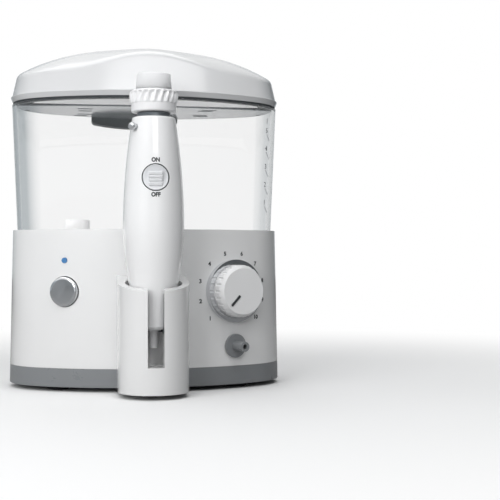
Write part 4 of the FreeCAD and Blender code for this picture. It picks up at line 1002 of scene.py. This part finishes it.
class IRRIGATOR_OT_handpiece(bpy.types.Operator):
    """Handpiece shells, neck, round slide switch with its lettering, and the release button"""

    bl_idname = "irrigator.handpiece"
    bl_label = "Handpiece"

    def execute(self, context):
        front = dressed("handle_front", 0.2 * MM)
        rear = dress("handle_rear", 0.2, finish_name="hand_white")
        dress("handle_neck", 0.3, finish_name="neck")
        dress("hose_nipple", 0.2)
        dress("eject_button", 0.0, finish_name="ball")
        add_switch(front, rear)
        rides(smoothed(front), "handpiece", "hand_white", "handle_front")
        add_shoulder(rear)
        low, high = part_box("switch_plate")
        size = 0.84 * context.scene.irrigator_sizes.print_height
        words = []
        for text, rise in (("ON", 1.0), ("OFF", -1.0)):
            z = (low.z + high.z) / 2 + rise * (SWITCH_R + 2.1 * MM)
            place = Vector((0.0, low.y - 10 * MM, z))
            words.append(lettering(text, size, place, FRONT, front, 0.065, 0.88))
        rides(joined(words, "switch_words"), "handpiece", "ink")
        return {"FINISHED"}


# Collar
# Power of the cap's outline: 2 is round, and more is squarer
CAP_POWER = 2.2
RIDGE_POWER = 1.2
RIDGE_POINTS = 12


def add_ridges(sizes):
    """Ridges whose grooves deepen upward from the band and close below the rim."""
    low, high = RING_LOW.z, RING_HIGH.z
    tall = high - low
    band_r = RING_R - 1.1 * MM
    bore_r = 6.06 * MM
    path = eased([
        (bore_r, low, 0.0),
        (band_r - 0.2 * MM, low, 1.0 * MM),
        (band_r, low + 0.36 * tall, 0.4 * MM),
        (band_r + 0.5 * MM, low + 0.42 * tall, 0.4 * MM),
        (RING_R, low + 0.7 * tall, 1.5 * MM),
        (RING_R - 0.1 * MM, high, 3.0 * MM),
        (bore_r, high, 0.0),
    ], steps=8)
    start, full = low + 0.34 * tall, high - 3.0 * MM
    rings = []
    for radius, z in finer(path, 0.6 * MM) + path[:1]:
        rise = clamped((z - start) / (full - start))
        rim = clamped((high - 1.1 * MM - z) / (1.4 * MM))
        outward = clamped((radius - band_r + 2.6 * MM) / (2.2 * MM))
        depth = sizes.ridge_depth * rise ** 1.1 * rim * outward
        lean = sizes.ridge_lean * (z - low) / tall
        ring = []
        for turn in turns(sizes.ridges * RIDGE_POINTS):
            wave = 0.5 + 0.5 * math.cos(sizes.ridges * turn)
            reach = radius - depth * (1 - wave ** RIDGE_POWER)
            way = turn + lean
            ring.append(Vector((reach * math.cos(way), HAND_Y + reach * math.sin(way), z)))
        rings.append(ring)
    rides(lofted("collar_ridged", rings, 50.0, bored=True), "collar", "collar", "knurled_ring")


class IRRIGATOR_OT_collar(bpy.types.Operator):
    """Collar with its leaning grip ridges above a smooth band, and the cap that takes a tip"""

    bl_idname = "irrigator.collar"
    bl_label = "Collar and cap"

    def execute(self, context):
        add_ridges(context.scene.irrigator_sizes)
        low, tall = CAP_LOW.z, CAP_HIGH.z - CAP_LOW.z
        cap_r = (CAP_HIGH.x - CAP_LOW.x) / 2
        bore_r, socket_r = 1.8 * MM, 3.6 * MM
        profile = eased([
            (bore_r, 0.0, 0.0),
            (cap_r, 0.0, 0.2 * MM),
            (cap_r - 0.9 * MM, tall, 0.7 * MM),
            (socket_r + 0.6 * MM, tall, 0.3 * MM),
            (socket_r, tall - 0.6 * MM, 0.1 * MM),
            (socket_r, tall - 8.0 * MM, 0.0),
            (bore_r, tall - 8.0 * MM, 0.0),
        ])
        rings = []
        for radius, z in profile + profile[:1]:
            flat = clamped((radius - socket_r - 1.0 * MM) / (2.0 * MM))
            ring = []
            for turn in turns(ROUND_STEPS):
                c, s = math.cos(turn), math.sin(turn)
                square = (abs(c) ** CAP_POWER + abs(s) ** CAP_POWER) ** (-1 / CAP_POWER)
                reach = radius * (1 + flat * (square - 1))
                ring.append(Vector((reach * c, HAND_Y + reach * s, low + z)))
            rings.append(ring)
        rides(lofted("cap_turned", rings, bored=True), "collar", "cap", "nozzle_cap")
        return {"FINISHED"}


# Base
class IRRIGATOR_OT_base(bpy.types.Operator):
    """Base, lower tray, feet, cradle and the fittings in its walls"""

    bl_idname = "irrigator.base"
    bl_label = "Base and cradle"

    def execute(self, context):
        dress_all(base_shell=0.7, base_tray=0.5, rubber_feet=0.4)
        dress("handle_cradle", 1.0, segments=3)
        dress_all(
            cradle_liner=0.3, hose_outlet=0.3, cord_gland=0.4, inlet_spigot=0.2, base_screws=0.2)
        return {"FINISHED"}


# Controls
DIAL_FIRST, DIAL_LAST = math.radians(225), math.radians(-45)
DIAL_COUNT = 10
# Distances in millimetres from the dial's axis, and out along it
NUMBERS_R, NUMBERS_OUT = 25.0, 12
POINTER_R, POINTER_OUT = 8.5, 12.1
POINTER_SIZE = (9.0 * MM, 1.6 * MM, 0.8 * MM)


class IRRIGATOR_OT_controls(bpy.types.Operator):
    """Pressure dial with pointer, bezel and printed numbers, power button and lamp"""

    bl_idname = "irrigator.controls"
    bl_label = "Controls"

    def execute(self, context):
        base = bpy.data.objects["base_shell_skin"]
        dress_all(pressure_dial=0.4, dial_bezel=0.5, power_button=0.4, indicator_lens=0.3)
        joint = JOINTS["dial_turn"]
        centre = Vector(joint["pos_m"])
        out = Vector(joint["axis"])
        if out.y > 0:
            out = -out
        across = UP.cross(out)

        def way(turn):
            return across * math.cos(turn) + UP * math.sin(turn)

        size = 0.85 * context.scene.irrigator_sizes.print_height
        numbers = []
        for i in range(DIAL_COUNT):
            turn = DIAL_FIRST + (DIAL_LAST - DIAL_FIRST) * i / (DIAL_COUNT - 1)
            place = centre + way(turn) * NUMBERS_R * MM + out * NUMBERS_OUT * MM
            numbers.append(lettering(str(i + 1), size, place, out, base))
        rides(joined(numbers, "dial_numbers"), "base", "ink")
        along = way(DIAL_FIRST)
        pointer = rounded(block("dial_pointer", (0, 0, 0), POINTER_SIZE), 0.3 * MM)
        place = centre + out * POINTER_OUT * MM + along * POINTER_R * MM
        turn = Matrix((along, out.cross(along), out)).transposed().to_4x4()
        pointer.matrix_world = Matrix.Translation(place) @ turn
        rides(smoothed(settled(pointer)), "dial", "ink")
        return {"FINISHED"}


class IRRIGATOR_OT_works(bpy.types.Operator):
    """Finishes on the CAD nodes that stay as they are"""

    bl_idname = "irrigator.works"
    bl_label = "Inner works"

    def execute(self, context):
        for node, slot in SLOTS.items():
            mesh = frame["nodes"][node].data
            mesh.materials.clear()
            mesh.materials.append(finishes()[slot])
        return {"FINISHED"}


# Stage
# Brightness of the studio from its left to its right, as glass and gloss see it
SIDE_CARDS = (
    (0.0, 0.5), (0.2, 0.5), (0.28, 0.4), (0.42, 0.5), (0.465, 1.0),
    (0.6, 1.0), (0.72, 0.35), (0.86, 0.12), (1.0, 0.1),
)
# Place, aim, size and power of each lamp, and whether gloss and glass show it
LAMPS = {
    "Key": ((-0.64, -0.77, 0.42), (0, 0, 0.15), (0.7, 0.7), 6.3, False),
    "Brow": ((0.1, -0.6, 0.87), (0, 0, 0.2), (0.9, 0.4), 2.8, True),
    "Strip": ((0.07, -1.0, 0.55), (0, -0.06, 0.16), (0.4, 0.2), 0.9, True),
    "Top": ((-0.1, 0.2, 1.2), (0, 0, 0.15), (1.2, 0.9), 4.4, True),
    "Back": ((0.0, 1.2, 0.5), (0, 0, 0.12), (0.8, 0.6), 3.0, False),
}
SENSOR = 36.0
PICTURE = 500.0


def side_cards(tree, across, through):
    """Dark cards at both sides, the right one paler through glass."""
    ramp = tree.add("ShaderNodeValToRGB", Fac=tree.spread(across, -1.0, 1.0))
    elements = ramp.color_ramp.elements
    for position, value in SIDE_CARDS[1:-1]:
        elements.new(position).color = grey(value)
    elements[0].color = grey(SIDE_CARDS[0][1])
    elements[-1].color = grey(SIDE_CARDS[-1][1])
    beyond = tree.maths("MULTIPLY", tree.spread(across, 0.05, 0.3, 0.0, 0.75), through)
    return tree.maths("MAXIMUM", ramp.outputs["Color"], beyond)


def cooled(tree, bright):
    """Grey of a brightness, bluish between black and white."""
    ramp = tree.add("ShaderNodeValToRGB", Fac=bright)
    ramp.color_ramp.elements.new(0.45).color = (0.41, 0.45, 0.47, 1.0)
    return ramp.outputs["Color"]


def from_inside(tree, path):
    """Mask of light that reaches a surface in the tank through its walls."""
    bounced = tree.maths("GREATER_THAN", path["Diffuse Depth"], 0.5)
    return tree.maths("MULTIPLY", path["Is Transmission Ray"], bounced)


def add_floor():
    """Pale sweep that turns white with distance; it throws little light back at the object."""
    fresh()
    bpy.ops.mesh.primitive_plane_add(size=8.0)
    floor = named("studio_floor")
    material = bpy.data.materials.new("Studio floor")
    material.use_nodes = True
    tree = Tree(material.node_tree)
    tree.nodes.remove(tree.nodes["Principled BSDF"])
    place = tree.nodes.new("ShaderNodeTexCoord").outputs["Object"]
    path = tree.nodes.new("ShaderNodeLightPath").outputs
    camera, through = path["Is Camera Ray"], path["Is Transmission Ray"]
    seen = tree.maths("MAXIMUM", camera, through)
    fade = tree.spread(tree.vector("LENGTH", place, "Value"), 0.15, 0.6)
    fade.node.interpolation_type = "SMOOTHSTEP"
    way = tree.vector("NORMALIZE", place, "Vector")
    across = tree.add("ShaderNodeSeparateXYZ", Vector=way).outputs["X"]
    cards = tree.maths("MAXIMUM", side_cards(tree, across, through), camera)
    pale = tree.add("ShaderNodeBsdfDiffuse", Color=grey(0.95))
    dim = tree.add("ShaderNodeBsdfDiffuse", Color=grey(0.4))
    white = tree.add("ShaderNodeEmission", Color=cooled(tree, cards), Strength=1.0)
    glow = tree.add("ShaderNodeEmission", Color=grey(1.0), Strength=1.8)
    result = tree.mixed(seen, dim.outputs[0], pale.outputs[0])
    result = tree.mixed(tree.maths("MULTIPLY", fade, seen), result, white.outputs[0])
    result = tree.mixed(from_inside(tree, path), result, glow.outputs[0])
    tree.fill(tree.nodes["Material Output"], Surface=result)
    floor.data.materials.append(material)


def add_world(scene):
    """Weak cool light all round; white for the camera, dark at the sides for glass and gloss."""
    world = bpy.data.worlds.new("Studio")
    scene.world = world
    world.use_nodes = True
    tree = Tree(world.node_tree)
    path = tree.nodes.new("ShaderNodeLightPath").outputs
    place = tree.nodes.new("ShaderNodeTexCoord").outputs["Generated"]
    parts = tree.add("ShaderNodeSeparateXYZ", Vector=place).outputs
    through = path["Is Transmission Ray"]
    rim = tree.spread(parts["Z"], 0.13, 0.2, 1.0, 0.8)
    above = tree.spread(parts["Z"], 0.25, 0.6, 0.0, 1.05)
    bright = tree.maths("MULTIPLY", side_cards(tree, parts["X"], through), rim)
    bright = tree.maths("MAXIMUM", bright, above)
    strength = tree.spread(parts["X"], -0.4, 0.8, 0.24, 0.13)
    light = tree.fill(
        tree.nodes["Background"], Color=(0.93, 0.97, 1.0, 1.0), Strength=strength)
    panel = tree.add("ShaderNodeBackground", Color=cooled(tree, bright), Strength=1.0)
    inner = tree.add("ShaderNodeBackground", Color=grey(1.0), Strength=2.4)
    white = tree.add("ShaderNodeBackground", Color=grey(1.0), Strength=1.0)
    shown = tree.maths("MAXIMUM", through, path["Is Glossy Ray"])
    result = tree.mixed(shown, light.outputs[0], panel.outputs[0])
    result = tree.mixed(from_inside(tree, path), result, inner.outputs[0])
    result = tree.mixed(path["Is Camera Ray"], result, white.outputs[0])
    tree.fill(tree.nodes["World Output"], Surface=result)


def add_lamp(scene, name, place, aim, size, power, shown):
    data = bpy.data.lights.new(name, "AREA")
    data.shape = "RECTANGLE"
    data.size, data.size_y = size
    data.energy = power
    light = bpy.data.objects.new(name, data)
    scene.collection.objects.link(light)
    light.visible_glossy = shown
    light.visible_transmission = shown
    light.location = place
    light.rotation_euler = (Vector(aim) - Vector(place)).to_track_quat("-Z", "Y").to_euler()


def add_camera(scene):
    view = scene.irrigator_stage
    camera = bpy.data.cameras.new("Photo camera")
    eye = bpy.data.objects.new("Photo camera", camera)
    scene.collection.objects.link(eye)
    camera.lens = view.lens
    camera.sensor_width = SENSOR
    turn = view.azimuth
    back = TANK_Y - view.distance * math.cos(turn)
    eye.location = (view.distance * math.sin(turn), back, view.height)
    focal = view.lens / SENSOR * PICTURE
    pitch = math.atan(view.horizon / focal)
    eye.rotation_euler = (math.pi / 2 + pitch, 0.0, turn - math.atan(view.across / focal))
    scene.camera = eye


class IRRIGATOR_OT_stage(bpy.types.Operator):
    """Floor, soft lights and the photograph's camera"""

    bl_idname = "irrigator.stage"
    bl_label = "Stage"

    def execute(self, context):
        scene = context.scene
        add_floor()
        add_world(scene)
        for name, values in LAMPS.items():
            add_lamp(scene, name, *values)
        add_camera(scene)
        scene.view_settings.view_transform = "Standard"
        return {"FINISHED"}


STEPS = (
    IRRIGATOR_OT_works,
    IRRIGATOR_OT_lid,
    IRRIGATOR_OT_tank,
    IRRIGATOR_OT_storage,
    IRRIGATOR_OT_handpiece,
    IRRIGATOR_OT_collar,
    IRRIGATOR_OT_base,
    IRRIGATOR_OT_controls,
    IRRIGATOR_OT_stage,
)
GROUPS = {
    "irrigator_tones": IrrigatorTones,
    "irrigator_sizes": IrrigatorSizes,
    "irrigator_stage": IrrigatorStage,
}


class IRRIGATOR_PT_steps(bpy.types.Panel):
    """Steps and values of the irrigator"""

    bl_label = "Irrigator"
    bl_idname = "IRRIGATOR_PT_steps"
    bl_space_type = "VIEW_3D"
    bl_region_type = "UI"
    bl_category = "Irrigator"

    def draw(self, context):
        column = self.layout.column()
        for step in STEPS:
            column.operator(step.bl_idname)
        for name, group in GROUPS.items():
            box = self.layout.box()
            for key in group.__annotations__:
                box.prop(getattr(context.scene, name), key)


def register():
    for name, group in GROUPS.items():
        bpy.utils.register_class(group)
        setattr(bpy.types.Scene, name, bpy.props.PointerProperty(type=group))
    for cls in STEPS + (IRRIGATOR_PT_steps,):
        bpy.utils.register_class(cls)


def unregister():
    for cls in reversed(STEPS + (IRRIGATOR_PT_steps,)):
        bpy.utils.unregister_class(cls)
    for name, group in GROUPS.items():
        delattr(bpy.types.Scene, name)
        bpy.utils.unregister_class(group)


def main():
    register()
    for step in STEPS:
        family, action = step.bl_idname.split(".")
        getattr(getattr(bpy.ops, family), action)()


if __name__ == "__main__":
    main()
